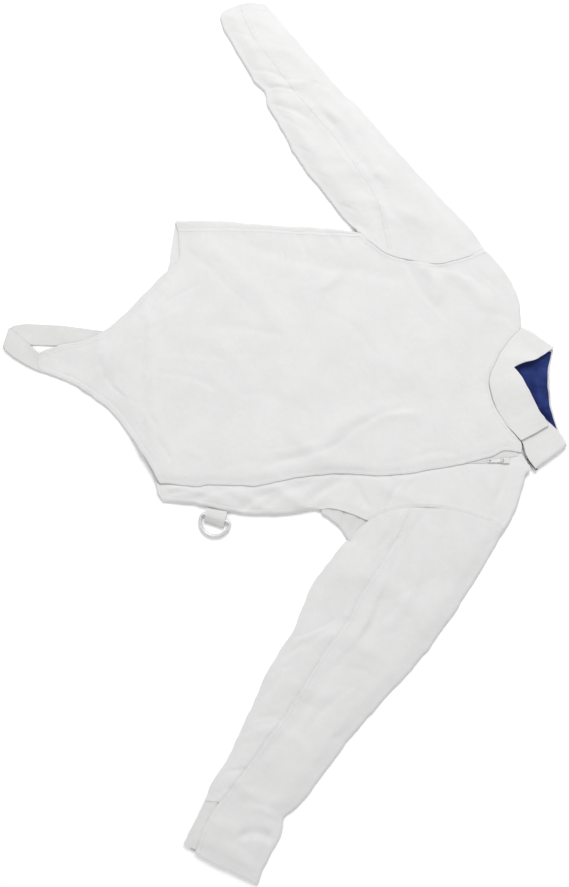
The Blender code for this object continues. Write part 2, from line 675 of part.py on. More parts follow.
def make_sleeves(cloth, elastic, group):
    """Both sleeves in two pieces each, and the elastic insert of the left cuff."""
    right = Sleeve(Border((SLEEVE_HEAD_RIGHT, 1)), Border((RIGHT_CUFF, 1)),
                   Border((RIGHT_INNER, 1)), Border((RIGHT_OUTER, 1)),
                   RIGHT_SEAM, RIGHT_SLEEVE_FOLDS)
    left = Sleeve(Border((SLEEVE_GUSSET_SEAM, 2), (SLEEVE_HEAD_LEFT, 11)),
                  Border((LEFT_CUFF, 1)), Border((LEFT_INNER, 1)),
                  Border((LEFT_OUTER, 1)), LEFT_SEAM, LEFT_SLEEVE_FOLDS)
    alongs = spread(20)
    flats = [HALF_BODY, INSERT_REACH]
    sheet("sleeve_right_over", sleeve_over_rows(right, alongs), CLOTH, cloth, group)
    sheet("sleeve_right_under", sleeve_under_rows(right, alongs, flats, 5), CLOTH, cloth,
          group, faces_up=False)
    whole, ended = 17, 4
    insert_gap = 2 * SEAM_GAP / SLEEVE_LENGTH
    alongs = spread(whole, 0.0, INSERT_AT - insert_gap) + spread(ended, INSERT_AT, 1.0)
    sheet("sleeve_left_over", sleeve_over_rows(left, alongs), CLOTH, cloth, group,
          faces_up=False)
    under = sleeve_under_rows(left, alongs, flats, 5)
    insert_columns = LIP_CELLS + len(FOLD_ANGLES) + 1
    sheet("sleeve_left_under", under, CLOTH, cloth, group,
          keep=lambda i, j: i < whole or j >= insert_columns)
    alongs = spread(ended, INSERT_AT, INSERT_END)
    flats = [HALF_BODY, INSERT_REACH - SEAM_GAP]
    sheet("cuff_insert_left", sleeve_under_rows(left, alongs, flats, 0), CLOTH, elastic, group)


def make_gusset(material, group):
    """Underarm gusset of the left sleeve, folded once and lower than the front."""
    tuck, fold, low = (Border((points, 1)) for points in
                       (GUSSET_TUCK, GUSSET_FOLD, GUSSET_LOW))
    radius = GUSSET_TOP / 2
    rows = []
    for along in spread(8):
        start, edge, end = tuck.at(along), fold.at(along), low.at(along)
        inward = (start - edge) / np.linalg.norm(start - edge)
        turn = edge + inward * radius
        row = [(*(start + (turn - start) * share), GUSSET_TOP) for share in spread(3)]
        for angle in FOLD_ANGLES[1:]:
            reach, height = half_turn(angle, radius)
            row.append((*(edge + inward * reach), height))
        row += [(*(turn + (end - turn) * share), 0.0) for share in spread(2)]
        rows.append(row)
    return sheet("gusset_left", rows, GUSSET_WALL, material, group)


def band_foot(along):
    """Height of the neck seam, which climbs from the shoulder to the flap."""
    return np.interp(along, *zip(*BAND_FOOT)) * MM


def make_collar_front(material, group):
    """Front band of the collar, from the fold at the right to its free end."""
    patch = Patch(Border((COLLAR_FOLD, 1)), Border((COLLAR_END, 1)),
                  Border((NECK_FRONT, 1)),
                  Border((COLLAR_EDGE_RIGHT, 6), (COLLAR_EDGE_LEFT, 8)))
    lengthwise = roll_in(BAND_LENGTH) + spread(14)[1:]
    rows = []
    for along in lengthwise:
        row = []
        for up in spread(6, NECK_GAP / BAND_HEIGHT, 1.0):
            plan = patch.at(along, up)
            lean = band_foot(along)
            lean += (np.interp(along, *zip(*BAND_RISE)) * MM - lean) * up ** 0.8
            drop = round_down(nearest(plan, COLLAR_FOLD_LINE), COLLAR_ROLL)
            row.append((*plan, lean - drop))
        rows.append(row)
    return sheet("collar_front", rows, COLLAR_WALL, material, group, faces_up=False)


def make_collar_back(material, group):
    """Back band on the floor, folded over at the left to lie under the free end."""
    floor = Patch(Border((COLLAR_FOLD_LOW, 1)), Border((COLLAR_LEFT_FOLD, 1)),
                  Border((COLLAR_BACK_SEAM, 1)), Border((COLLAR_BACK_EDGE, 1)))
    wrap = Patch(Border((COLLAR_LEFT_FOLD, 1)), Border((COLLAR_WRAP_END, 1)),
                 Border((COLLAR_WRAP_LOW, 1)), Border((COLLAR_WRAP_HIGH, 1)))
    radius = COLLAR_TOP / 2
    ups = spread(5)
    floor_length, wrap_length = 190 * MM, 50 * MM
    rows = []
    for along in roll_in(floor_length) + spread(11, 0.0, 1 - radius / floor_length)[1:]:
        plans = [floor.at(along, up) for up in ups]
        rows.append([(*plan, round_down(nearest(plan, COLLAR_FOLD_LOW_LINE), COLLAR_ROLL))
                     for plan in plans])
    for angle in reversed(FOLD_ANGLES[1:]):
        inward, height = half_turn(angle, radius)
        side = floor if angle < 90 else wrap
        share = 1 - inward / floor_length if angle < 90 else inward / wrap_length
        rows.append([(*side.at(share, up), height) for up in ups])
    for along in spread(3, radius / wrap_length, 1.0):
        rows.append([(*wrap.at(along, up), COLLAR_TOP) for up in ups])
    return sheet("collar_back", rows, COLLAR_WALL, material, group)


def make_lining(material, group):
    """Blue lining that shows inside the neck, flat on the back and its band."""
    patch = Patch(Border((LINING_LOW, 1)), Border((LINING_HIGH, 1)),
                  Border((LINING_RIGHT, 1)), Border((LINING_LEFT, 1)))
    rows = [[(*patch.at(up, across), LINING_TOP) for across in spread(12)]
            for up in spread(6)]
    return sheet("collar_lining", rows, LINING_WALL, material, group)


def make_strap(material, group):
    """Crotch webbing: out from the back hem, folded over and back to the tip."""
    def row(x0, y0, x1, y1, z):
        start, stop = np.array([x0, y0, z]), np.array([x1, y1, z])
        return [start + (stop - start) * share for share in spread(3)]

    def between(first, second, cells):
        return [[a + (b - a) * share for a, b in zip(row(*first), row(*second))]
                for share in spread(cells)[1:]]

    path = [entry[1:] for entry in STRAP_ROWS]
    rows = [row(*path[0])]
    for first, second in zip(path, path[1:]):
        rows += between(first, second, 2)
    _, x0, y0, x1, y1, top = STRAP_FOLD
    radius = top / 2
    out = np.array([y1 - y0, x0 - x1]) / math.hypot(x1 - x0, y1 - y0)
    for angle in (0, 30, 60, 90, 120, 150, 180):
        inward, height = half_turn(angle, radius)
        shift = -out * inward
        rows.append(row(x0 + shift[0], y0 + shift[1], x1 + shift[0], y1 + shift[1], height))
    back = [entry[1:] for entry in STRAP_RETURN_ROWS]
    rows.append(row(*back[0]))
    for first, second in zip(back, back[1:]):
        rows += between(first, second, 2)
    rows = [[point * MM for point in line] for line in rows]
    return sheet("crotch_strap", rows, STRAP_WALL, material, group)


def ring_frame():
    """Directions along the D-ring's bar and out of the jacket, in the plan."""
    along = np.array([math.sin(RING_TURN), math.cos(RING_TURN)])
    out = np.array([math.cos(RING_TURN), -math.sin(RING_TURN)])
    return along, out


def make_ring_tab(material, group):
    """Webbing loop sewn in the left side, loose round the D-ring's bar."""
    along, out = ring_frame()
    centre = np.array(RING_BAR)
    root = [np.array(point) * MM for point in TAB_ROOT]
    rows = []
    for share in spread(4):
        start = root[0] + (root[1] - root[0]) * share
        end = centre + along * TAB_WIDTH * (share - 0.5) + out * TAB_BEYOND_BAR
        rows.append([(*(start + (end - start) * reach), height * MM)
                     for reach, height in TAB_PROFILE])
    return sheet("dring_tab", rows, TAB_WALL, material, group)


def make_ring(material, group):
    """D-ring bent from wire, its origin on its straight bar."""
    half, corner = RING_HALF_WIDTH, RING_CORNER
    points = [(0.0, (half - corner) * side) for side in (-1, -0.4, 0.4, 1)]
    for angle in (30, 60):
        turn = math.radians(angle)
        points.append((corner * (1 - math.cos(turn)),
                       half - corner + corner * math.sin(turn)))
    centre = RING_DEPTH - half
    for angle in range(90, -91, -15):
        turn = math.radians(angle)
        points.append((centre + half * math.cos(turn), half * math.sin(turn)))
    for angle in (60, 30):
        turn = math.radians(angle)
        points.append((corner * (1 - math.cos(turn)),
                       -(half - corner + corner * math.sin(turn))))
    curve = bpy.data.curves.new("dring", "CURVE")
    curve.dimensions = "3D"
    curve.bevel_depth = RING_WIRE
    curve.bevel_resolution = 2
    spline = curve.splines.new("POLY")
    spline.points.add(len(points) - 1)
    for spot, (x, y) in zip(spline.points, points):
        spot.co = (x, y, 0.0, 1.0)
    spline.use_cyclic_u = True
    curve.materials.append(material)
    item = bpy.data.objects.new("dring", curve)
    item.location = (*RING_BAR, RING_BAR_HEIGHT)
    item.rotation_euler = (0.0, RING_LIE, -RING_TURN)
    group.objects.link(item)
    return item


def make_zip_tape(material, group):
    """Zip tape on the left front, hidden by the flap but for its top."""
    line = Border((FLAP_EDGE, 1))
    rows = []
    for along in spread(24, 0.02, 0.992):
        edge = line.at(along)
        step = line.at(min(along + 0.008, 1.0)) - line.at(along - 0.008)
        side = np.array([step[1], -step[0]]) / np.linalg.norm(step)
        shift = np.interp(along, *zip(*TAPE_SHIFT)) * MM
        rows.append([(*(edge + side * (shift + offset * MM)), TAPE_TOP)
                     for offset in (-7, 0, 7)])
    return sheet("zip_tape", rows, TAPE_WALL, material, group)


def box(name, size, centre, bevel, material, group):
    """A box with its edges rounded."""
    bpy.ops.mesh.primitive_cube_add(size=1.0, location=centre)
    item = bpy.context.object
    item.name = item.data.name = name
    item.scale = size
    bpy.ops.object.transform_apply(location=False, rotation=False, scale=True)
    rounding = item.modifiers.new("rounding", "BEVEL")
    rounding.width = bevel
    rounding.segments = 1
    item.data.materials.append(material)
    move(item, group)
    return item


def rod(name, radius, length, centre, material, group, sides=16):
    """A cylinder that lies along x."""
    bpy.ops.mesh.primitive_cylinder_add(vertices=sides, radius=radius, depth=length,
                                        location=centre,
                                        rotation=(0.0, math.pi / 2, 0.0))
    item = bpy.context.object
    item.name = item.data.name = name
    if material:
        item.data.materials.append(material)
    move(item, group)
    return item


def move(item, group):
    """Take an object out of its collections and put it in one."""
    for owner in list(item.users_collection):
        owner.objects.unlink(item)
    group.objects.link(item)


def combine(item, other, operation):
    """Join another object to this one, or cut it away, with a Boolean modifier."""
    change = item.modifiers.new(other.name, "BOOLEAN")
    change.operation = operation
    change.object = other


def make_slider(material, group, cutters):
    """Zip slider with two ears and the pin that carries its pull tab."""
    x, y = SLIDER_AT
    wide, long, thick = SLIDER_SIZE
    base = TAPE_TOP + SEAM_GAP
    body = box("zip_slider", SLIDER_SIZE, (x, y, base + thick / 2), 0.5 * MM, material, group)
    ear_x = EYE_LENGTH / 2 + EAR_GAP + EAR_WALL / 2
    pin_y = y - long / 2 - EAR_REACH
    for side in (-1, 1):
        ear = box("ear", (EAR_WALL, EAR_REACH + 2 * EAR_NOSE, 2 * MM),
                  (x + side * ear_x, pin_y + EAR_REACH / 2, PIN_HEIGHT), 0.15 * MM,
                  material, cutters)
        combine(body, ear, "UNION")
    pin = rod("pin", PIN_RADIUS, 2 * ear_x + EAR_WALL / 2, (x, pin_y, PIN_HEIGHT),
              material, cutters, sides=12)
    combine(body, pin, "UNION")
    return (x, pin_y, PIN_HEIGHT)


def make_pull(pin, material, group, cutters):
    """Pull tab: an eye on the slider's pin and a plate with a hole at its end."""
    x, y, z = pin
    eye = rod("zip_pull", EYE_RADIUS, EYE_LENGTH, pin, material, group)
    plate = box("plate", (PULL_WIDTH, PULL_LENGTH, PULL_PLATE),
                (x, y - PLATE_START - PULL_LENGTH / 2, z - PULL_DROP), 0.3 * MM,
                material, cutters)
    combine(eye, plate, "UNION")
    bore = rod("bore", EYE_BORE, 2 * EYE_LENGTH, pin, None, cutters)
    combine(eye, bore, "DIFFERENCE")
    bpy.ops.mesh.primitive_cylinder_add(
        vertices=16, radius=1.7 * MM, depth=4 * PULL_PLATE,
        location=(x, y - PULL_LENGTH + 1.2 * MM, z - PULL_DROP))
    hole = bpy.context.object
    hole.name = "hole"
    move(hole, cutters)
    combine(eye, hole, "DIFFERENCE")


def main():
    clear_scene()
    jacket = new_collection("fencing_jacket")
    cutters = new_collection("cutters", hidden=True)
    cloth, webbing, lining, elastic, metal, zipper = (
        finish(name) for name in ("cloth", "webbing", "lining", "elastic", "metal", "zip"))
    make_front_main(cloth, jacket)
    make_front_left(cloth, jacket)
    make_back(cloth, jacket)
    make_sleeves(cloth, elastic, jacket)
    make_gusset(cloth, jacket)
    make_collar_front(cloth, jacket)
    make_collar_back(cloth, jacket)
    make_lining(lining, jacket)
    make_strap(webbing, jacket)
    make_ring_tab(webbing, jacket)
    make_ring(metal, jacket)
    make_zip_tape(zipper, jacket)
    pin = make_slider(zipper, jacket, cutters)
    make_pull(pin, zipper, jacket, cutters)
    for item in cutters.objects:
        item.hide_render = True
        item.display_type = "WIRE"


main()
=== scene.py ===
"""Looks of a fencing jacket laid flat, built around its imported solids.

Metres, in the frame of the solids: +X toward the wearer's left sleeve, +Y toward the
collar, +Z up from the surface. Points of outlines and folds are given in millimetres. Each
cloth piece is a thin shell with the outline and height of its solid, with the finer folds,
seams and stitches added.
"""
import math

import bpy
import numpy as np
from mathutils import Matrix, Vector


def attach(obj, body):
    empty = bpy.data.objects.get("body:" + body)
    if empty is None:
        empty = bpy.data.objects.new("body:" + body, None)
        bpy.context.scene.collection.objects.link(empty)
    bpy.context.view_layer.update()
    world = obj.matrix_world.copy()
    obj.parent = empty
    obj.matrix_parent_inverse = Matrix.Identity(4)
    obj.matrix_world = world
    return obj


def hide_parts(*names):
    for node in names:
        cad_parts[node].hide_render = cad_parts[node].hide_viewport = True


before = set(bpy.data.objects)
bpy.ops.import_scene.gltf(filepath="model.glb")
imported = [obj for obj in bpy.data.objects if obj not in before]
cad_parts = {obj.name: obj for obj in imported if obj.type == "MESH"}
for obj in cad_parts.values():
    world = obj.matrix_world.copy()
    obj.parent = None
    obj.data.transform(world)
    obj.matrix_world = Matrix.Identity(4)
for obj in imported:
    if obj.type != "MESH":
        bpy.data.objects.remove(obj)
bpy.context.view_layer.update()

MM = 0.001

# Walls of the shells.
CLOTH = 1.9 * MM
COLLAR_WALL = 2.4 * MM
GUSSET_WALL = 1.4 * MM
LINING_WALL = 0.8 * MM
TAPE_WALL = 0.6 * MM
STRAP_WALL = 1.7 * MM
TAB_WALL = 1.5 * MM
CELL = 3.0 * MM

# Heights of the outer faces above the surface, and how they sink toward edges.
BODY_TOP = 8.0 * MM
LEFT_FRONT_TOP = 6.4 * MM
FLAP_TOP = 10.8 * MM
FLAP_PLATEAU = 45 * MM
FLAP_SLOPE = 60 * MM
FLAP_SINK = 2.3 * MM
FLAP_SINK_WIDTH = 16 * MM
CALM_WIDTH = 16 * MM
HEM_REST = 4.1 * MM
HEM_SINK_WIDTH = 34 * MM
TONGUE_DROP = 2.9 * MM
TONGUE_SIDE_DROP = 1.8 * MM
TONGUE_SLOPE = 80 * MM
STRAP_CLEAR = 20 * MM
STRAP_SLOPE = 30 * MM
# From this y on, the slider holds the flap up and it sinks less.
LIFTED_FROM = 250 * MM
LIFTED_SLOPE = 40 * MM
LIFTED_SHARE = 0.45
# The left front rises from under the flap to its own height beside it.
FLAP_CLEAR = -2 * MM
STRIP_SLOPE = 9 * MM
LEFT_CREASE_GAIN = 1.7
LEFT_SIDE_SINK = 1.6 * MM
TAPE_SHOWS = 16 * MM
TAPE_BED = 0.45 * MM
TAPE_BED_FROM = 280 * MM
TAPE_BED_SLOPE = 26 * MM
STRIP_CALM = 9 * MM
NECK_END = 94 * MM
NECK_FADE = 25 * MM
EDGE_FADE = 26 * MM
# Sleeves: their small folds start at this distance from the edge, over this slope.
CLOSE_FROM = 2 * MM
CLOSE_SLOPE = 12 * MM
SLEEVE_CROWN = 1.4 * MM
SLEEVE_SINK = 3.1 * MM
SLEEVE_SINK_WIDTH = 24 * MM
SLEEVE_SINK_FROM = 14 * MM
LARGE_FOLDS = 0.45
GUSSET_TOP = 4.9 * MM
GUSSET_SEAM_DROP = 1.2 * MM
GUSSET_SEAM_WIDTH = 14 * MM
COLLAR_TOP = 9.0 * MM
LINING_TOP = 4.4 * MM
TAPE_TOP = 7.5 * MM

# Rounded and folded edges.
HALF_BODY = BODY_TOP / 2
SIDE_WIDTH = 5.0 * MM
SIDE_FOOT = 0.5 * MM
EDGE_ROUND = 1.1 * MM
EDGE_STEPS = (0.0, 0.12 * MM, 0.4 * MM, 0.8 * MM, 1.5 * MM)
SIDE_STEPS = (0.0, 0.1 * MM, 0.5 * MM, 1.3 * MM, 2.6 * MM, 4.2 * MM, 6.5 * MM)
FOLD_ANGLES = (180, 157, 135, 112, 90, 67, 45, 22)
BACK_INSET = 3.4 * MM
BODY_LENGTH = 500 * MM
BODY_WIDTH = 390 * MM
LEFT_WIDTH = 110 * MM
SLEEVE_LENGTH = 520 * MM
GUSSET_LENGTH = 66 * MM
COLLAR_LENGTH = 190 * MM
COLLAR_DEPTH = 50 * MM
COLLAR_CELL = 2.2 * MM
TAPE_LENGTH = 545 * MM
# Half of the gap between two pieces that meet at a seam.
SEAM_GAP = 0.03 * MM
# Share of the way from hem to shoulder at which the right armhole starts.
ARMPIT_AT = 11 / 20

# Sewn seams: a groove along the seam, a raised allowance beside it and puckers.
GROOVE_DEPTH = 0.42 * MM
GROOVE_WIDTH = 1.2 * MM
FELL_RISE = 0.5 * MM
FELL_WIDTH = 7.5 * MM
PUCKER = 0.30 * MM
PUCKER_REACH = 11 * MM
PUCKER_LENGTH = 13 * MM

# Stitches.
STITCH_PITCH = 3.4 * MM
STITCH_LENGTH = 2.6 * MM
STITCH_WIDTH = 0.42 * MM
STITCH_SINK = 0.3
STITCH_RISE = 0.25

# How folds wander and vary in height: cell and reach of the noise.
FOLD_WARP = (32 * MM, 2.2 * MM)
FOLD_UNEVEN = (22 * MM, 0.35)
# How cut edges wander, and small uneven relief of worn cloth: cell, size and seed of each
# layer of noise.
DRIFT = [(21 * MM, 0.9 * MM, 15), (10 * MM, 0.65 * MM, 17)]
CRUMPLE = [(70 * MM, 0.55 * MM, 3), (26 * MM, 0.24 * MM, 11), (10 * MM, 0.10 * MM, 23)]

# Camera, as the photo was taken: 1.7 m above the jacket, tipped 12 degrees.
CAMERA_TILT = math.radians(12)
CAMERA_DISTANCE = 1.7
CAMERA_AIM = Vector((0.056, 0.004, 0.0))
CAMERA_LENS = 46.0


def curve(*points, steps=16):
    """Points along a Catmull-Rom curve through points in millimetres, in metres."""
    base = np.array(points, float) * MM
    if len(base) == 2:
        share = np.linspace(0.0, 1.0, steps + 1)[:, None]
        return base[0] + (base[1] - base[0]) * share
    ends = np.vstack([2 * base[0] - base[1], base, 2 * base[-1] - base[-2]])
    line = []
    for before, start, stop, after in zip(ends, ends[1:], ends[2:], ends[3:]):
        for t in np.arange(steps) / steps:
            line.append(0.5 * (2 * start + (stop - before) * t
                               + (2 * before - 5 * start + 4 * stop - after) * t ** 2
                               + (3 * start - 3 * stop + after - before) * t ** 3))
    line.append(base[-1])
    return np.array(line)


# Outlines of the right front, in the order in which they follow each other.
HEM_RIGHT = curve((-285, -163), (-257, -160), (-231, -162), (-208, -187), (-180, -210),
                  (-148, -240), (-121, -270), (-105, -300), (-96, -338), (-84, -370))
HEM_TIP = curve((-84, -370), (-56, -369))
HEM_LEFT = curve((-56, -369), (-46, -338), (-28, -304), (5, -259), (44, -227), (89, -197),
                 (118, -181))
HEM_LINE = np.vstack([HEM_RIGHT, HEM_TIP, HEM_LEFT])
FRONT_SIDE = curve((-285, -163), (-284, -60), (-278.5, 50), (-275.6, 123.4))
FRONT_ARMHOLE = curve((-275.6, 123.4), (-262, 137), (-242, 164), (-232, 200), (-226, 240),
                      (-234, 277), (-250, 316))
ARMHOLE_RIGHT = curve((-280, 119), (-262, 137), (-242, 164), (-232, 200), (-226, 240),
                      (-234, 277), (-250, 316))
SHOULDER_RIGHT = curve((-250, 316), (-235, 330.5), (-199, 354), (-162, 366), (-124, 366))
NECK_FRONT = curve((-124, 366), (-104, 347), (-72, 326), (-36, 313), (-1, 320), (24, 332),
                   (42, 346), (54, 357))
NECK_CORNER = curve((54, 357), (62, 358.5), (71, 356))
FLAP_EDGE = curve((118, -181), (122, -134), (120, -95), (122, -40), (109, 27), (103, 85),
                  (106, 141), (102, 192), (91, 255), (79, 308), (69, 331), (71, 356))
# The stitched line that holds the tongue's facing.
FACING = curve((-190, -176), (-157, -197), (-107, -209), (-40, -209), (30, -206), (62, -196))

# Left front, which reaches a little farther under the collar than the back does.
LEFT_HIDDEN = curve((74, -208), (80, -130), (80, -40), (66, 40), (62, 130), (56, 210), (42, 290),
                    (24, 330))
LEFT_HEM = curve((74, -208), (109, -190), (133, -183), (145, -175))
LEFT_SIDE = curve((145, -175), (147, -143), (154, -108), (161, -72), (165, -35), (164, 10),
                  (157, 51))
LEFT_GUSSET_EDGE = curve((157, 51), (155, 72), (161, 97), (173, 127))
ARMHOLE_LEFT = curve((173, 127), (160, 155), (155, 190), (155, 225), (161, 262), (172, 300),
                     (188, 328))
LEFT_FRONT_NECK = curve((24, 330), (45, 346), (71, 356), (95, 371))
LEFT_FRONT_SHOULDER = curve((95, 371), (105, 362.5), (121, 359.5), (144, 352), (170, 340),
                            (188, 328))

# Back.
BACK_HEM = curve((-299, -166), (-266, -170), (-215, -178), (-155, -203), (-90, -216), (-20, -211),
                 (50, -199), (105, -187), (145, -175))
BACK_SIDE = curve((-299, -166), (-298, -96), (-292, -34), (-288, 40), (-284, 88), (-280, 119))
BACK_NECK = curve((-124, 366), (-60, 363), (20, 362), (94, 364))
SHOULDER_LEFT = curve((94, 364), (120, 360), (144, 352), (170, 340), (188, 328))

# Sleeves.
RIGHT_OUTER = curve((-250, 316), (-266, 306.5), (-288, 293), (-325, 261), (-401, 197),
                    (-435, 169.5), (-463, 148), (-487, 129), (-502, 116.5), (-510, 106),
                    (-519, 97), (-548, 74), (-575, 53), (-602, 31), (-636, 5.5), (-676, -24))
RIGHT_INNER = curve((-280, 119), (-308, 92), (-344, 67), (-403, 25), (-465, -6), (-494, -22),
                    (-520, -28), (-540, -45), (-588, -72), (-640, -98), (-660, -97), (-669, -84))
RIGHT_CUFF = curve((-669, -84), (-677, -55), (-676, -24))
RIGHT_SEAM = curve((-249, 164), (-319, 152), (-356, 135), (-400, 107), (-446, 76), (-503, 30),
                   (-547, -1), (-591, -32), (-622, -52), (-673, -70))
LEFT_OUTER = curve((188, 328), (226, 305), (275, 273), (339, 228), (401, 175), (436, 141),
                   (478, 102), (524, 66), (575, 25), (592, 4), (614, -1), (655, -23), (680, -32))
LEFT_INNER = curve((201, 96.1), (230, 72), (273, 42), (328, 19), (348, 7), (389, -19), (438, -42),
                   (500, -70), (543, -96), (569, -108), (600, -123), (630, -138))
LEFT_CUFF = curve((630, -138), (655, -85), (680, -32))
LEFT_SEAM = curve((162, 186), (187, 173), (228, 151), (278, 116), (324, 90), (373, 54), (433, 17),
                  (479, -17), (544, -65), (591, -102), (641, -122))
SLEEVE_GUSSET_SEAM = curve((201, 96.1), (187.1, 111), (174.2, 127.2))
GUSSET_TUCK = curve((149, 58), (146, 78), (152, 102), (171, 130))
GUSSET_FOLD = curve((163, 59), (174, 74), (188, 88.5), (204.4, 98.5))
GUSSET_LOW = curve((157.8, 60), (157, 73), (162.6, 97), (178, 130))

# Collar and lining, with the lining's edge drawn as a dark strip under the collar's folded end: a
# painted shadow line there.
COLLAR_FOLD = curve((-124, 366), (-119, 380), (-108, 394), (-92, 415))
COLLAR_EDGE_RIGHT = curve((-92, 415), (-81, 399), (-69, 382), (-64, 362), (-58, 351))
COLLAR_EDGE_LEFT = curve((-58, 351), (-44, 361), (-6, 378), (31, 399))
COLLAR_END = curve((54, 357), (31, 399))
COLLAR_BACK_SEAM = curve((-124, 366.5), (-60, 364), (20, 363), (97, 378))
COLLAR_BACK_EDGE = curve((-92, 415), (-60, 408), (-20, 406), (20, 411), (61, 426))
COLLAR_LEFT_FOLD = curve((97, 378), (61, 426))
COLLAR_WRAP_LOW = curve((97, 378), (76, 364), (58, 360.5), (41, 352))
COLLAR_WRAP_HIGH = curve((61, 426), (41, 416), (16, 390))
COLLAR_WRAP_END = curve((41, 352), (16, 390))
LINING_LOW = curve((-92, 340), (-50, 334), (0, 338), (44, 352))
LINING_HIGH = curve((-85, 410.5), (-56, 404), (-20, 402.3), (18, 407.3), (53, 419.5))
LINING_RIGHT = curve((-92, 340), (-106, 368), (-85, 410.5))
LINING_LEFT = curve((44, 352), (78, 380), (53, 419.5))
LINING_SHADOW_EDGE = curve((80, 366), (88, 372), (97.5, 378.8))
# Share of the length and height of the collar's front band, at its foot and at its rim.
BAND_FOOT = [(0, 9), (0.2, 9), (0.8, 10.6), (1, 12.8)]
BAND_RISE = [(0, 9), (0.12, 12), (0.28, 17.5), (0.43, 14), (0.62, 19), (0.85, 15.5), (1, 13)]

# Folds: a ridge, or a trough where the height is below zero, along a line from
# (x0, y0) to (x1, y1) that bows sideways by bow. Lean makes one side the steeper.
# name, x0, y0, x1, y1, bow, half width, height, lean
BODY_FOLDS = [
    ("tongue_break", -158, -208, 45, -196, 6, 20, 2.2, 0),
    ("tongue_arc", -124, -285, -20, -300, 18, 16, 1.6, 0),
    ("waist_right", -255, -120, -150, -20, 10, 26, 2, 0),
    ("waist_left", 40, 10, 90, 110, -12, 24, 2.2, 0),
    ("chest_left", 45, 70, 10, 200, 14, 22, 2.6, 0),
    ("armhole_right_a", -222, 214, -170, 240, 8, 18, 3.2, 0),
    ("armhole_right_b", -212, 262, -150, 318, 6, 18, 3, 0),
    ("armpit_right", -262, 96, -190, 70, 10, 18, 2.6, 0),
    ("centre_low", -110, -120, -20, -40, 16, 30, 1.6, 0),
    ("centre_high", -120, 120, -40, 230, -18, 34, 1.8, 0),
]
BODY_CREASES = [
    ("waist_trough_a", 92, -22, 44, 108, -6, 9, -1.5, 0.5),
    ("waist_trough_b", 48, 96, 4, 192, 10, 9, -1.7, 0.5),
    ("waist_ridge", 72, -10, 22, 150, -8, 12, 0.9, -0.3),
    ("chest_crease", -48, 200, 50, 226, 6, 7, -0.9, 0.4),
    ("armhole_a", -232, 192, -146, 243, -6, 8, -1.2, 0.5),
    ("armhole_b", -220, 232, -180, 322, 8, 8, -1.3, 0.5),
    ("diagonal", -245, -143, -144, -42, 3, 4, -0.8, 0),
    ("upper_shade", -268, -80, -206, 170, -10, 18, -1.3, 0.2),
    ("middle_left", -50, -180, -30, -104, 5, 10, -0.9, 0.3),
    ("middle_left_b", -72, -176, -66, -96, 4, 9, 0.6, 0),
    ("centre_a", -122, -100, -106, 6, 6, 10, -0.8, 0.3),
    ("centre_b", -150, 68, -78, 146, 8, 11, -0.8, 0),
    ("centre_c", -20, -60, 16, 40, 10, 13, -0.7, 0),
    ("hem_a", -160, -180, -190, -130, 3, 5, -0.7, 0.4),
    ("hem_b", -128, -196, -150, -150, 3, 5, 0.5, 0),
    ("hem_c", 16, -196, 60, -180, 3, 5, -0.7, 0),
    ("hem_d", 50, -186, 88, -166, 3, 6, -0.6, 0),
    ("hem_e", 70, -170, 78, -120, 4, 7, 0.5, 0),
    ("neck", -40, 302, -6, 297, 2, 4, -0.6, 0),
    ("tongue_a", -108, -266, -64, -276, -4, 6, -0.9, 0.3),
    ("tongue_b", -64, -276, -8, -228, -6, 6, -0.9, 0.3),
    ("tongue_c", -102, -244, -58, -258, -4, 6, 0.7, 0),
    ("tongue_d", -58, -258, -6, -226, -5, 6, 0.6, 0),
    ("tongue_e", -84, -330, -50, -336, 4, 6, -0.7, 0),
    ("tongue_f", -80, -352, -54, -346, 3, 5, 0.5, 0),
    ("shoulder_a", -210, 300, -160, 352, 5, 9, -0.9, 0.3),
    ("shoulder_b", -150, 300, -130, 356, 4, 9, -0.7, 0),
    ("side_a", -280, 20, -240, 40, 3, 8, -0.6, 0),
    ("side_b", -278, 70, -236, 96, 4, 8, -0.9, 0.3),
    ("flap_a", 100, -100, 84, -30, 4, 8, -0.5, 0),
    ("flap_b", 96, 150, 70, 250, 5, 9, -0.6, 0),
]
LEFT_FOLDS = [
    ("drag_a", 124, -150, 152, -70, 4, 14, 2.2, 0),
    ("drag_b", 126, -90, 160, -20, 4, 15, 2.6, 0),
    ("drag_c", 122, -20, 158, 40, 4, 15, 2.6, 0),
    ("front_armhole", 118, 150, 150, 230, -8, 18, 2.4, 0),
    ("front_shoulder", 106, 300, 160, 312, 6, 18, 2, 0),
]
LEFT_CREASES = [
    ("drag_d", 146, -124, 122, -72, 3, 10, -1.5, 0.4),
    ("drag_e", 160, -60, 130, -14, 3, 11, -1.8, 0.5),
    ("drag_f", 154, -26, 118, 36, 3, 11, -1.8, 0.5),
    ("drag_g", 146, 40, 116, 84, 3, 11, -1.7, 0.4),
    ("drag_h", 134, -168, 128, -116, 2, 6, -0.8, 0),
    ("gather_a", 160, 158, 122, 174, 3, 7, -1.2, 0.3),
    ("gather_b", 154, 186, 116, 196, 3, 8, -0.8, 0),
    ("gather_c", 152, 128, 118, 112, 3, 8, -1, 0.3),
    ("shoulder", 166, 312, 112, 330, 4, 9, -0.8, 0.3),
]
RIGHT_SLEEVE_FOLDS = [
    ("head", -262, 268, -300, 160, -16, 22, 3.2, 0),
    ("armpit_a", -330, 100, -300, 210, 10, 18, 3.6, 0),
    ("armpit_b", -368, 62, -362, 180, 14, 20, 3.4, 0),
    ("upper", -430, 40, -398, 150, -12, 22, 2.6, 0),
    ("elbow_a", -500, -14, -470, 90, 10, 16, 4, 0),
    ("elbow_b", -532, -22, -540, 55, -8, 15, 4.4, 0),
    ("fore", -590, -52, -578, 22, 8, 18, 2.8, 0),
    ("cuff", -640, -80, -630, -16, 6, 16, 2, 0),
]
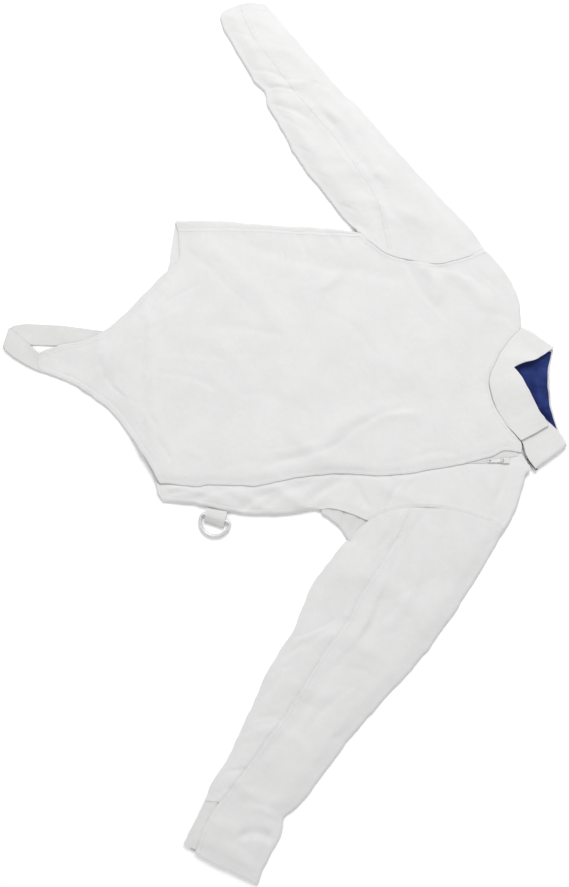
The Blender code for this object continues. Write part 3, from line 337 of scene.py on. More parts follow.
RIGHT_SLEEVE_CREASES = [
    ("long_a", -529, 10, -406, 114, 8, 11, -2.4, 0.4),
    ("long_b", -420, 104, -312, 172, 6, 11, -2.4, 0.4),
    ("long_ridge", -500, 60, -380, 150, 6, 13, 1.6, 0),
    ("long_low", -447, 72, -306, 168, -4, 10, 1.5, 0),
    ("bunch_a", -556, -50, -543, 0, 3, 5, -2, 0.4),
    ("bunch_b", -524, -30, -516, 22, 3, 5, -2.6, 0.4),
    ("bunch_c", -497, -20, -468, 42, 4, 7, -2.2, 0.4),
    ("bunch_d", -474, 0, -440, 40, 4, 6, -1.2, 0),
    ("inner_a", -326, 84, -310, 116, 3, 5, -1.5, 0.3),
    ("inner_b", -380, 46, -364, 76, 3, 6, -1.2, 0.3),
    ("inner_c", -424, 16, -408, 48, 3, 6, -1, 0),
    ("armpit_c", -340, 132, -270, 152, 3, 6, -1.6, 0.4),
    ("armpit_d", -346, 145, -278, 168, 3, 6, 0.9, 0),
    ("elbow_line", -537, 2, -512, 98, 6, 6, -1.3, 0.5),
    ("middle", -318, 168, -262, 204, 4, 10, -0.9, 0),
    ("outer_a", -560, 50, -536, 66, 2, 6, -1, 0),
    ("outer_b", -440, 138, -424, 158, 2, 6, -0.8, 0),
    ("fore_a", -620, -70, -596, -30, 4, 6, -1, 0.3),
    ("fore_b", -600, -20, -584, 26, 4, 8, -0.9, 0),
    ("head_b", -272, 240, -330, 222, 4, 10, -0.9, 0),
]
LEFT_SLEEVE_FOLDS = [
    ("gather_a", 182, 150, 262, 106, 4, 15, 3, 0),
    ("gather_b", 172, 206, 262, 190, 8, 16, 3.2, 0),
    ("head", 190, 250, 250, 270, -8, 20, 2.6, 0),
    ("upper", 250, 78, 300, 190, 14, 22, 3.4, 0),
    ("elbow_a", 340, 30, 372, 140, 12, 20, 3.8, 0),
    ("elbow_b", 398, 0, 424, 90, -10, 18, 3.2, 0),
    ("fore_a", 470, -40, 500, 40, 8, 18, 2.8, 0),
    ("fore_b", 540, -70, 572, 0, -8, 16, 3.4, 0),
    ("cuff", 600, -96, 628, -20, 6, 15, 3, 0),
]
LEFT_SLEEVE_CREASES = [
    ("gather_c", 164, 208, 280, 148, -6, 8, -2.3, 0.4),
    ("gather_d", 162, 190, 216, 156, 4, 7, -2, 0.3),
    ("gather_e", 170, 168, 214, 140, 3, 6, -1.6, 0.3),
    ("gather_f", 178, 132, 214, 112, 3, 5, -1.2, 0),
    ("long_a", 286, 146, 384, 78, 6, 12, -2.4, 0.4),
    ("long_b", 262, 196, 330, 150, 6, 12, 1.8, 0),
    ("long_c", 200, 184, 346, 104, 4, 11, 1.6, 0),
    ("long_d", 292, 128, 376, 96, 3, 8, 1.2, 0),
    ("long_e", 431, -28, 375, 26, 4, 9, -1.6, 0.3),
    ("fore_f", 477, 35, 417, 97, 5, 9, -1.8, 0.4),
    ("fore_g", 485, 68, 482, 102, 2, 6, -1.4, 0),
    ("fore_h", 480, -60, 460, -4, 3, 7, -1.6, 0.3),
    ("elbow_f", 356, 33, 321, 93, 4, 8, -1.8, 0.3),
    ("elbow_c", 343, 14, 314, 82, -4, 6, -2, 0.4),
    ("elbow_d", 377, -12, 348, 32, -4, 6, -2, 0.4),
    ("elbow_e", 402, -22, 384, 18, -3, 6, 1, 0),
    ("fore_c", 468, -56, 454, -6, 3, 6, -1.9, 0.4),
    ("fore_d", 536, -88, 527, -52, 3, 5, -1.9, 0.4),
    ("fore_e", 500, -68, 488, -36, 3, 5, -1, 0),
    ("fore_long", 404, 56, 506, -24, 8, 12, -1.6, 0.3),
    ("outer_a", 386, 98, 398, 128, 2, 5, -1.1, 0),
    ("outer_b", 412, 88, 424, 116, 2, 5, -0.8, 0),
    ("outer_c", 480, 74, 472, 106, 2, 5, -1.2, 0),
    ("outer_d", 340, 196, 352, 214, 2, 5, -0.8, 0),
    ("cuff_hollow", 614, -56, 623, -14, 4, 11, -6.6, 0.3),
    ("cuff_ridge", 580, -46, 594, 0, 4, 9, 2.6, 0),
    ("cuff_fold", 622, -72, 672, -20, 5, 7, -1.2, 0.3),
    ("cuff_low", 560, -100, 552, -40, 4, 7, -1, 0),
    ("small_a", 258, 214, 290, 148, 4, 6, -0.8, 0),
]
GUSSET_CREASES = [
    ("tuck_a", 156, 92, 186, 84, 3, 5, -1.3, 0.4),
    ("tuck_b", 166, 116, 190, 96, 2, 4, -1.1, 0.3),
    ("tuck_c", 156, 76, 168, 70, 2, 5, -0.8, 0),
]
LINING_CREASES = [
    ("neck_a", -60, 396, -20, 372, 4, 7, 0.7, 0.3),
    ("neck_b", -30, 400, 20, 384, 3, 6, -0.5, 0.3),
    ("neck_c", -74, 400, -60, 366, 4, 8, 0.6, 0),
    ("neck_seam", -84, 392, 56, 398, 14, 2.2, -0.55, 0),
]

# Crotch strap: x and y of the two sides of each row, and height of the outer face. The
# rows run from the back hem to the fold, and from there back to the tip of the front.
STRAP_CENTRE = np.array([(-94, -217), (-103, -270), (-112, -334), (-114, -390)]) * MM
STRAP_OUT = [(-110, -215.2, -78, -218.2, 0), (-119, -270, -87, -268, 0),
             (-128, -335, -96, -332, 0), (-131, -392, -98, -388, 0), (-128, -412, -96, -420, 0)]
STRAP_FOLD = (-124.5, -418, -95, -426, 4.4)
STRAP_BACK = [(-120, -412, -89, -421, 4.4), (-108, -398, -79, -409, 4.4),
              (-97, -384, -66, -388, 3.9), (-84.3, -371.2, -56.3, -370.2, 3.2)]
STRAP_TIP = np.array([(-84, -370.05), (-56, -369.05)]) * MM
STRAP_WIDTH = 32 * MM

RING_BAR = (169 * MM, -96.5 * MM)
RING_TURN = math.radians(19)
RING_WIRE = 2.2 * MM
RING_HALF_WIDTH = 22.2 * MM
RING_DEPTH = 27.4 * MM
RING_CORNER = 5 * MM
RING_SWELL = 0.16
RING_LIE = math.radians(3.6)
RING_BAR_HEIGHT = 4.1 * MM
TAB_WIDTH = 30 * MM
TAB_BEYOND_BAR = 11 * MM
TAB_ROOT = np.array([(154.1, -110.6), (159.8, -80.6)]) * MM
# Share of the way from the jacket to the loop's end, height of the outer face.
TAB_PROFILE = [(0, 5.4), (0.26, 7.3), (0.48, 8.4), (0.62, 8.3), (0.78, 6.6), (0.92, 4.7),
               (0.985, 3.5), (1, 2.3), (0.985, 1), (0.93, 0.15), (0.85, 0), (0.5, 0), (0, 0)]
# How much of the tape shows beside the flap: y, share of TAPE_SHOWS.
TAPE_SHARE = [(280, 0), (300, 0.5), (318, 0.6), (330, 1)]
# Share of the flap edge's length, how far outside that edge the tape's middle lies.
TAPE_SHIFT = [(0.0, -12), (0.8, -12), (0.93, 4), (1.0, 3)]


# Plane geometry

def smoothstep(value):
    """Rise smoothly from 0 to 1 as value goes from 0 to 1."""
    t = np.clip(value, 0.0, 1.0)
    return t * t * (3.0 - 2.0 * t)


class Border:
    """One side of a patch: a line, or lines in a row, each with its share of the side."""

    def __init__(self, side):
        parts = side if isinstance(side, list) else [(side, 1)]
        self.lines = [line for line, _ in parts]
        shares = np.array([share for _, share in parts], float)
        self.stops = np.concatenate([[0.0], np.cumsum(shares) / shares.sum()])
        self.lengths = [lengths_along(line) for line in self.lines]

    def at(self, share):
        """The points at shares, from 0 to 1, of the border."""
        share = np.asarray(share, float)
        flat = share.ravel()
        index = np.searchsorted(self.stops, flat, "right") - 1
        index = np.clip(index, 0, len(self.lines) - 1)
        found = np.empty((len(flat), 2))
        for k, line in enumerate(self.lines):
            mine = index == k
            low, high = self.stops[k], self.stops[k + 1]
            along = (flat[mine] - low) / (high - low) * self.lengths[k][-1]
            found[mine] = points_at(along, self.lengths[k], line)
        return found.reshape(share.shape + (2,))


def lengths_along(line):
    """Length of the way from the start of a line to each of its points."""
    steps = np.linalg.norm(np.diff(line, axis=0), axis=1)
    return np.concatenate([[0.0], np.cumsum(steps)])


def points_at(marks, lengths, line):
    """Points of a line at marks along it."""
    return np.stack([np.interp(marks, lengths, axis) for axis in line.T], -1)


class Patch:
    """A plan surface between four borders: low and high, right and left."""

    def __init__(self, low, high, right, left):
        self.low, self.high, self.right, self.left = map(Border, (low, high, right, left))

    def at(self, up, across):
        """Plan points: up is a row of shares, across a row or one row for each up."""
        up = np.asarray(up, float)[:, None]
        across = np.broadcast_to(across, (len(up), np.shape(across)[-1]))
        low, high = self.low.at(across), self.high.at(across)
        right, left = self.right.at(up), self.left.at(up)
        u, a = up[..., None], across[..., None]
        corners = ((1 - u) * ((1 - a) * self.low.at(0) + a * self.low.at(1))
                   + u * ((1 - a) * self.high.at(0) + a * self.high.at(1)))
        return (1 - u) * low + u * high + (1 - a) * right + a * left - corners

    def width(self, up):
        """Straight distances across the patch at shares up it, as a column."""
        return np.linalg.norm(self.left.at(up) - self.right.at(up), axis=-1)[:, None]


def measure(line, plan):
    """Least distance of each plan point to a line, and how far along the line it is."""
    flat = plan.reshape(-1, 2)
    start, span = line[:-1], np.diff(line, axis=0)
    keep = (span ** 2).sum(axis=1) > 1e-14
    start, span = start[keep], span[keep]
    size = (span ** 2).sum(axis=1)
    begins = np.concatenate([[0.0], np.cumsum(np.sqrt(size))])[:-1]
    distance, along = np.empty(len(flat)), np.empty(len(flat))
    for first in range(0, len(flat), 8000):
        points = flat[first:first + 8000]
        offset = points[:, None, :] - start[None]
        share = np.clip((offset * span[None]).sum(axis=2) / size, 0.0, 1.0)
        gap = np.linalg.norm(offset - share[..., None] * span[None], axis=2)
        best = gap.argmin(axis=1)
        rows = np.arange(len(points))
        distance[first:first + 8000] = gap[rows, best]
        along[first:first + 8000] = begins[best] + share[rows, best] * np.sqrt(size[best])
    return distance.reshape(plan.shape[:-1]), along.reshape(plan.shape[:-1])


def near(plan, *lines):
    """Least distance from plan points to any of the lines."""
    return np.minimum.reduce([measure(line[::2], plan)[0] for line in lines])


def beside(distance, width):
    """1 at a distance of zero, falling smoothly to 0 at a distance of width."""
    return 1 - smoothstep(distance / width)


def inset(line, distance):
    """A line moved sideways: to its left where the distance is above zero."""
    step = np.gradient(line, axis=0)
    step /= np.maximum(np.linalg.norm(step, axis=1, keepdims=True), 1e-12)
    return line + np.column_stack([-step[:, 1], step[:, 0]]) * distance


def lattice_noise(plan, cell, seed):
    """Smooth random heights from about -1 to 1, seeded, with one value a cell."""
    table = np.random.default_rng(seed).uniform(-1, 1, (64, 64))
    grid = plan / cell + 1000.0
    low = np.floor(grid).astype(int)
    part = smoothstep(grid - low)
    x0, y0 = low[..., 0] % 64, low[..., 1] % 64
    x1, y1 = (x0 + 1) % 64, (y0 + 1) % 64
    fx, fy = part[..., 0], part[..., 1]
    near_side = table[x0, y0] * (1 - fx) + table[x1, y0] * fx
    far_side = table[x0, y1] * (1 - fx) + table[x1, y1] * fx
    return near_side * (1 - fy) + far_side * fy


def wander(plan, cell, seed):
    """Smooth random steps in the plane."""
    return np.stack([lattice_noise(plan, cell, seed), lattice_noise(plan, cell, seed + 1)], -1)


def crumple(plan, strength=1.0):
    """Small uneven relief of cloth that has been worn and laid down."""
    turned = plan @ np.array([[0.8, -0.6], [0.6, 0.8]])
    total = sum(height * lattice_noise(turned, cell, seed) for cell, height, seed in CRUMPLE)
    return total * strength


def folds(table, plan):
    """Height that a table's ridges and troughs add at plan points."""
    uneven = 1.0 + FOLD_UNEVEN[1] * lattice_noise(plan, FOLD_UNEVEN[0], 8)
    plan = plan + FOLD_WARP[1] * wander(plan, FOLD_WARP[0], 5)
    total = np.zeros(plan.shape[:-1])
    for _, x0, y0, x1, y1, bow, half_width, height, lean in table:
        start, stop = np.array([x0, y0]) * MM, np.array([x1, y1]) * MM
        length = float(np.linalg.norm(stop - start))
        along = (stop - start) / length
        side = np.array([-along[1], along[0]])
        share = ((plan - start) @ along) / length
        off = (plan - start) @ side - bow * MM * 4 * share * (1 - share)
        width = half_width * MM * 0.6 * np.where(off > 0, 1 + lean, 1 - 0.6 * lean)
        ends = smoothstep((share + 0.25) / 0.4) * smoothstep((1.25 - share) / 0.4)
        total += height * MM * np.exp(-(off / width) ** 2) * ends
    return total * uneven


def quarter(distance, width=EDGE_ROUND, depth=EDGE_ROUND):
    """Drop of a face as it rounds over an edge that is width across and depth down."""
    t = np.clip(distance / width, 0.0, 1.0)
    return depth * (1 - np.sqrt(1 - (1 - t) ** 2))


def seam(plan, line, felled=0.0, seed=1, puckered=1.0, depth=GROOVE_DEPTH):
    """Groove, raised allowance and puckers along a seam line."""
    distance, along = measure(line[::2], plan)
    groove = -depth * np.exp(-(distance / GROOVE_WIDTH) ** 2)
    fell = felled * FELL_RISE * smoothstep((FELL_WIDTH - distance) / (3 * MM))
    turns = lattice_noise(np.stack([along, np.zeros_like(along)], -1), 30 * MM, seed)
    wave = np.sin(2 * math.pi * along / PUCKER_LENGTH + 5 * turns)
    size = 0.6 + 0.6 * lattice_noise(np.stack([along, along], -1), 45 * MM, seed + 1)
    fade = np.exp(-distance / PUCKER_REACH) * smoothstep(distance / (2.5 * MM))
    return groove + fell + PUCKER * puckered * wave * size * fade


# Seams of the right front: line, raised allowance, seed, puckers, depth of the groove.
FRONT_SEAMS = [
    (FRONT_SIDE, 1.0, 31),
    (FRONT_ARMHOLE, 1.0, 41, 1.6),
    (FACING, 0.0, 51, 1.0, 0.35 * MM),
    (inset(HEM_LINE, 9 * MM), 0.0, 61, 1.0, 0.4 * MM),
    (inset(FLAP_EDGE, 7 * MM), 0.0, 71, 0.9, 0.3 * MM),
    (NECK_FRONT, 0.0, 81, 1.4, 0.5 * MM),
]
# Its rows of stitches: line, how far inside it the row runs.
FRONT_STITCHES = [(HEM_LINE, 3.0), (HEM_LINE, 9.0), (FACING, 0.0), (FLAP_EDGE, 2.5),
                  (FLAP_EDGE, 7.0), (FRONT_ARMHOLE, -4.5), (NECK_FRONT, -4.5),
                  (FRONT_SIDE, -4.5)]


def front_height(plan):
    """Outer face of the right front, with its flap over the left front.

    Near the flap's edge and the hem it sinks onto what lies below it.
    """
    x, y = plan[..., 0], plan[..., 1]
    past = smoothstep((np.interp(x, *BACK_HEM.T) - y) / TONGUE_SLOPE)
    flap, hem, shoulder = (near(plan, line) for line in (FLAP_EDGE, HEM_LINE, SHOULDER_RIGHT))
    raised = beside(flap - FLAP_PLATEAU, FLAP_SLOPE) * (1 - past)
    aside = smoothstep((measure(STRAP_CENTRE, plan)[0] - STRAP_CLEAR) / STRAP_SLOPE)
    calm = smoothstep(np.minimum(hem, flap) / CALM_WIDTH)
    relief = folds(BODY_FOLDS, plan)
    relief += (folds(BODY_CREASES, plan) + crumple(plan)) * (0.3 + 0.7 * calm)
    relief *= (1 + 0.3 * past) * smoothstep(shoulder / EDGE_FADE)
    over_back = (1 - past) * smoothstep((LEFT_HIDDEN[0, 0] - x) / FLAP_SLOPE)
    lifted = LIFTED_SHARE * smoothstep((y - LIFTED_FROM) / LIFTED_SLOPE)
    sink = FLAP_SINK * beside(flap, FLAP_SINK_WIDTH) * (1 - lifted)
    sink += (BODY_TOP - HEM_REST) * beside(hem, HEM_SINK_WIDTH) * over_back
    sink += past * (TONGUE_DROP + TONGUE_SIDE_DROP * aside)
    height = BODY_TOP + (FLAP_TOP - BODY_TOP) * raised + relief - sink
    height += sum(seam(plan, *entry) for entry in FRONT_SEAMS)
    height -= quarter(np.minimum(near(plan, HEM_RIGHT, HEM_LEFT), flap))
    return height - quarter(shoulder, SIDE_WIDTH, height - SIDE_FOOT)


def left_front_height(plan):
    """Outer face of the left front, low where the flap lies on it."""
    x, y = plan[..., 0], plan[..., 1]
    flap, side, shoulder, hem = (near(plan, line) for line in
                                 (FLAP_EDGE, LEFT_SIDE, LEFT_FRONT_SHOULDER, LEFT_HEM))
    shown = x > np.interp(y, FLAP_EDGE[:, 1], FLAP_EDGE[:, 0])
    tape = TAPE_SHOWS * np.interp(y / MM, *zip(*TAPE_SHARE))
    clear = smoothstep((flap - FLAP_CLEAR - tape) / STRIP_SLOPE) * shown
    relief = folds(LEFT_FOLDS, plan) + LEFT_CREASE_GAIN * folds(LEFT_CREASES, plan)
    relief = (relief + crumple(plan)) * smoothstep(np.minimum(side, shoulder) / STRIP_CALM)
    height = LEFT_FRONT_TOP + (BODY_TOP - LEFT_FRONT_TOP + relief) * clear
    rise = TAPE_BED * smoothstep((y - TAPE_BED_FROM) / TAPE_BED_SLOPE) * (1 - clear)
    rise += seam(plan, ARMHOLE_LEFT, 1.0, 91, 1.6)
    rise -= LEFT_SIDE_SINK * beside(side, SLEEVE_SINK_WIDTH)
    rise -= GUSSET_SEAM_DROP * beside(near(plan, LEFT_GUSSET_EDGE), GUSSET_SEAM_WIDTH)
    height += rise * shown - (LEFT_FRONT_TOP - HEM_REST) * beside(hem, HEM_SINK_WIDTH)
    height -= quarter(hem)
    height -= quarter(side, SIDE_WIDTH, height - SIDE_FOOT)
    fade = smoothstep((x - NECK_END) / NECK_FADE)
    return height - quarter(shoulder, SIDE_WIDTH, height - SIDE_FOOT) * fade


# Mesh making

def add_object(name, data):
    """An object of mesh, curve, light or camera data, in the scene."""
    item = bpy.data.objects.new(name, data)
    bpy.context.scene.collection.objects.link(item)
    return item


def grid_mesh(name, points, uv, material, wall, flip=False, drop=None):
    """A walled mesh of a grid of points with a UV map, less the cells in drop."""
    rows, columns = points.shape[:2]
    index = np.arange(rows * columns).reshape(rows, columns)
    a, b = index[:-1, :-1], index[:-1, 1:]
    c, d = index[1:, :-1], index[1:, 1:]
    quads = np.stack((a, c, d, b) if flip else (a, b, d, c), -1)
    if drop is not None:
        quads = quads[~drop]
    used, quads = np.unique(quads.reshape(-1, 4), return_inverse=True)
    mesh = bpy.data.meshes.new(name)
    mesh.from_pydata(points.reshape(-1, 3)[used].tolist(), [], quads.reshape(-1, 4).tolist())
    layer = mesh.uv_layers.new(name="UVMap")
    corners = np.empty(len(mesh.loops), dtype=np.int32)
    mesh.loops.foreach_get("vertex_index", corners)
    layer.data.foreach_set("uv", uv.reshape(-1, 2)[used][corners].astype(np.float32).ravel())
    mesh.polygons.foreach_set("use_smooth", np.ones(len(mesh.polygons), dtype=bool))
    mesh.update()
    sharpen_borders(mesh)
    mesh.materials.append(material)
    item = add_object(name, mesh)
    solid = item.modifiers.new("wall", "SOLIDIFY")
    solid.thickness = wall
    solid.offset = -1.0
    return item


def sharpen_borders(mesh):
    """Mark an open surface's border edges sharp, so that its wall shades cleanly."""
    loop_edges = np.empty(len(mesh.loops), dtype=np.int32)
    mesh.loops.foreach_get("edge_index", loop_edges)
    border = np.bincount(loop_edges, minlength=len(mesh.edges)) == 1
    mesh.edges.foreach_set("use_edge_sharp", border)


def drift(plan):
    """Plan points moved a little, as a cut edge that has been worn wanders."""
    return plan + sum(size * wander(plan, cell, seed) for cell, size, seed in DRIFT)


def shell(name, plan, height, wall, material, grain, flip=False, drop=None):
    """A thin shell of cloth from plan points and the heights of its outer face."""
    points = np.concatenate([drift(plan), height[..., None]], axis=-1)
    turn = math.radians(grain)
    uv = plan @ np.array([[math.cos(turn), -math.sin(turn)], [math.sin(turn), math.cos(turn)]])
    item = grid_mesh(name, points, uv, material, wall, flip, drop)
    item.modifiers["wall"].use_quality_normals = True
    return item


def webbing(name, points, uv, wall, radius):
    """A strip of webbing with rounded edges."""
    item = grid_mesh(name, points, uv, WEBBING_LOOK, wall)
    rounding = item.modifiers.new("rounding", "BEVEL")
    rounding.width = radius
    rounding.segments = 2
    rounding.limit_method = "ANGLE"
    rounding.angle_limit = math.radians(50)
    return item


def settle(item):
    """Apply a piece's wall and lift what of it dips below the surface."""
    bpy.context.view_layer.update()
    depsgraph = bpy.context.evaluated_depsgraph_get()
    mesh = bpy.data.meshes.new_from_object(item.evaluated_get(depsgraph))
    item.modifiers.clear()
    item.data = mesh
    places = np.empty(len(mesh.vertices) * 3)
    mesh.vertices.foreach_get("co", places)
    places[2::3] = np.maximum(places[2::3], 0.0)
    mesh.vertices.foreach_set("co", places)
    mesh.update()


def dress(item, slot, *nodes, body="jacket"):
    """Let a piece ride on a body and stand for its solids, which it hides; its slot is not used.
    """
    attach(item, body)
    if nodes:
        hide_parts(*nodes)


def spread(length, cell, start=0.0, stop=1.0):
    """Even shares from start to stop with cells of about one size."""
    cells = max(2, round((stop - start) * length / cell))
    return np.linspace(start, stop, cells + 1)


def with_edges(length, cell, first=None, last=None):
    """Shares from 0 to 1, closer together at the edges that are rounded."""
    shares = spread(length, cell)
    if first is not None:
        steps = np.array(first) / length
        shares = np.concatenate([steps, shares[shares > steps[-1] + 0.5 * cell / length]])
    if last is not None:
        steps = 1 - np.array(last)[::-1] / length
        shares = np.concatenate([shares[shares < steps[0] - 0.5 * cell / length], steps])
    return shares


def half_turn(angles, radius):
    """Inward distances and heights round a full fold, from 180 on top to 0 below."""
    turn = np.radians(np.array(angles, float))
    return radius * (1 - np.sin(turn)), radius * (1 - np.cos(turn))


def joined(*parts, axis=1):
    """Plan points and heights of parts, each a pair of them, that follow each other."""
    heights = [np.broadcast_to(height, plan.shape[:2]) for plan, height in parts]
    return np.concatenate([plan for plan, _ in parts], axis), np.concatenate(heights, axis)


def sew(name, rows, height):
    """Rows of stitches, each a slim bead that lies along its line."""
    ring = np.array([(0, 1), (1, 0), (0, -1), (-1, 0)], float) * STITCH_WIDTH / 2
    vertices, faces = [], []
    for line in rows:
        lengths = lengths_along(line)
        middles = np.arange(STITCH_PITCH, lengths[-1] - STITCH_PITCH / 2, STITCH_PITCH)
        ends = []
        for sign in (-1, 1):
            end = points_at(middles + sign * STITCH_LENGTH / 2, lengths, line)
            ends.append(np.column_stack([drift(end), height(end[None])[0]]))
        for start, stop in zip(*ends):
            along = (stop - start) / np.linalg.norm(stop - start)
            side = np.cross((0.0, 0.0, 1.0), along)
            side /= np.linalg.norm(side)
            top = np.cross(along, side)
            base = len(vertices)
            vertices.append(start - top * STITCH_WIDTH * STITCH_SINK)
            for share in (0.22, 0.78):
                centre = start + (stop - start) * share + top * STITCH_WIDTH * STITCH_RISE
                vertices += [centre + side * w + top * h for h, w in ring]
            vertices.append(stop - top * STITCH_WIDTH * STITCH_SINK)
            for k in range(4):
                n = (k + 1) % 4
                faces += [(base, base + 1 + n, base + 1 + k),
                          (base + 1 + k, base + 1 + n, base + 5 + n, base + 5 + k),
                          (base + 9, base + 5 + k, base + 5 + n)]
    mesh = bpy.data.meshes.new(name)
    mesh.from_pydata([tuple(map(float, v)) for v in vertices], [], faces)
    mesh.shade_smooth()
    mesh.materials.append(THREAD_LOOK)
    dress(add_object(name, mesh), "cloth")


# Materials

def feed(tree, socket, value):
    """Give an input a value, or link it to the socket that feeds it."""
    if isinstance(value, bpy.types.NodeSocket):
        tree.links.new(value, socket)
    else:
        socket.default_value = value


def node_of(tree, kind, **inputs):
    """Add a shader node and feed its inputs."""
    node = tree.nodes.new("ShaderNode" + kind)
    for key, value in inputs.items():
        feed(tree, node.inputs[key.replace("_", " ").title()], value)
    return node


def base_material(name, roughness, sheen=0.0, metallic=0.0, specular=0.25):
    """A Principled material and its node tree and shader."""
    material = bpy.data.materials.new(name)
    material.use_nodes = True
    shader = material.node_tree.nodes["Principled BSDF"]
    for key, value in (("Roughness", roughness), ("Sheen Weight", sheen),
                       ("Sheen Roughness", 0.45), ("Metallic", metallic),
                       ("Specular IOR Level", specular)):
        shader.inputs[key].default_value = value
    return material, material.node_tree, shader


def noise_of(tree, vector, scale, detail, roughness):
    """Values of a noise texture."""
    return node_of(tree, "TexNoise", vector=vector, scale=scale, detail=detail,
                   roughness=roughness).outputs["Fac"]


def finish(tree, shader, vector, grain, tones, patches, rough):
    """Colour that wanders between two tones, and roughness that follows a grain."""
    ramp = node_of(tree, "ValToRGB", fac=noise_of(tree, vector, patches, 4.0, 0.6))
    for element, position, tone in zip(ramp.color_ramp.elements, (0.32, 0.68), tones):
        element.position = position
        element.color = (*tone, 1)
    feed(tree, shader.inputs["Base Color"], ramp.outputs["Color"])
    uneven = node_of(tree, "MapRange", value=grain, to_min=rough[0], to_max=min(rough[1], 1.0))
    feed(tree, shader.inputs["Roughness"], uneven.outputs["Result"])


def bands(tree, vector, period, turn):
    """Bands a period apart in metres, turned by an angle in degrees."""
    turned = node_of(tree, "Mapping", vector=vector, rotation=(0, 0, math.radians(turn)))
    wave = node_of(tree, "TexWave", vector=turned.outputs["Vector"], distortion=0.6,
                   scale=math.pi / 10 / period, detail=1.0, detail_scale=2.0)
    return wave.outputs["Fac"]


def bump(tree, shader, height, distance, strength, below=None):
    """Add a bump from a height, on top of another bump where one is given."""
    node = node_of(tree, "Bump", height=height, distance=distance, strength=strength)
    if below is not None:
        tree.links.new(below, node.inputs["Normal"])
    tree.links.new(node.outputs["Normal"], shader.inputs["Normal"])
    return node.outputs["Normal"]


def woven(name, dark, light, period=0.9 * MM, turns=(38, -52), sheen=0.18, roughness=0.88,
          depth=0.00022, specular=0.25, patches=16.0):
    """Woven cloth: crossed threads, soft fuzz and a colour that wanders between the dark and
    light tones given.
    """
    material, tree, shader = base_material(name, roughness, sheen, 0.0, specular)
    vector = node_of(tree, "TexCoord").outputs["UV"]
    threads = node_of(tree, "Math")
    threads.operation = "ADD"
    for socket, stretch, turn in zip(threads.inputs, (1, 1.15), turns):
        feed(tree, socket, bands(tree, vector, period * stretch, turn))
    fuzz = noise_of(tree, vector, 1500.0, 3.0, 0.7)
    lower = bump(tree, shader, noise_of(tree, vector, 95.0, 3.0, 0.55), 0.0016, 0.35)
    upper = bump(tree, shader, threads.outputs[0], depth, 0.5, lower)
    bump(tree, shader, fuzz, 0.00025, 0.35, upper)
    finish(tree, shader, vector, fuzz, (dark, light), patches,
           (roughness - 0.08, roughness + 0.06))
    return material


def plated(name, colour, roughness, metallic):
    """Plated or painted metal with fine scratches."""
    material, tree, shader = base_material(name, roughness, 0.0, metallic)
    vector = node_of(tree, "TexCoord").outputs["Object"]
    scratches = noise_of(tree, vector, 700.0, 5.0, 0.7)
    bump(tree, shader, scratches, 0.00008, 0.25)
    dark = tuple(0.8 * value for value in colour)
    finish(tree, shader, vector, scratches, (dark, colour), 160.0,
           (roughness * 0.75, roughness * 1.4))
    return material


CLOTH_LOOK = woven("white_cloth", (0.685, 0.683, 0.681), (0.722, 0.72, 0.718))
SLEEVE_LOOK = woven("white_cloth_sleeve", (0.68, 0.678, 0.676), (0.718, 0.716, 0.714))
BACK_LOOK = woven("white_cloth_back", (0.675, 0.673, 0.67), (0.71, 0.708, 0.705))
COLLAR_LOOK = woven("white_collar", (0.675, 0.672, 0.668), (0.712, 0.71, 0.706))
# The gusset's tones are darker than the front's: painted shade of its low place under the front's
# edge.
GUSSET_SHADED_LOOK = woven("white_gusset_painted_shade", (0.62, 0.618, 0.615), (0.665, 0.663, 0.66))
STRETCH_LOOK = woven("stretch_knit", (0.63, 0.628, 0.625), (0.68, 0.678, 0.675), 1.6 * MM,
                     (0, 90))
WEBBING_LOOK = woven("webbing", (0.64, 0.638, 0.634), (0.70, 0.698, 0.694), 1.5 * MM, (0, 90),
                     0.1, 0.75, 0.0004)
# The lining's colour wanders widely between dark and light blue in blotches: its own blue, with
# painted shade and sheen streaks of its folds.
LINING_SHADE_SHEEN_LOOK = woven("blue_lining_painted_streaks", (0.007, 0.014, 0.075), (0.028, 0.05, 0.2), 1.2 * MM,
                    (45, -45), 0.0, 0.8, 0.0003, 0.1, 34.0)
TAPE_LOOK = woven("zip_tape_cloth", (0.62, 0.62, 0.615), (0.67, 0.67, 0.665), 0.8 * MM,
                  (20, -20))
THREAD_LOOK = woven("thread", (0.58, 0.578, 0.575), (0.66, 0.658, 0.655), 0.5 * MM, (30, 30),
                    0.1, 0.6)
RING_LOOK = plated("ring_metal", (0.74, 0.74, 0.74), 0.34, 0.35)
SLIDER_LOOK = plated("slider_paint", (0.72, 0.72, 0.715), 0.42, 0.0)


# Body panels

# The border that the left front and the back share.
LEFT_BORDER = [(LEFT_SIDE, 8), (LEFT_GUSSET_EDGE, 3), (ARMHOLE_LEFT, 9)]


def make_front_main():
    """Right front: hem with its tongue, side, armhole, shoulder, neck and flap."""
    patch = Patch([(HEM_RIGHT, 9), (HEM_TIP, 2), (HEM_LEFT, 9)],
                  [(SHOULDER_RIGHT, 7), (NECK_FRONT, 12), (NECK_CORNER, 1)],
                  [(FRONT_SIDE, 11), (FRONT_ARMHOLE, 9)], FLAP_EDGE)
    plan = patch.at(with_edges(BODY_LENGTH, CELL * 0.85, EDGE_STEPS, SIDE_STEPS),
                    with_edges(BODY_WIDTH, CELL, EDGE_STEPS[::2], EDGE_STEPS))
    item = shell("front_main_cloth", plan, front_height(plan), CLOTH, CLOTH_LOOK, 4)
    rows = [inset(line, distance * MM) for line, distance in FRONT_STITCHES]
    sew("front_main_stitches", rows, front_height)
    dress(item, "cloth", "front_main")


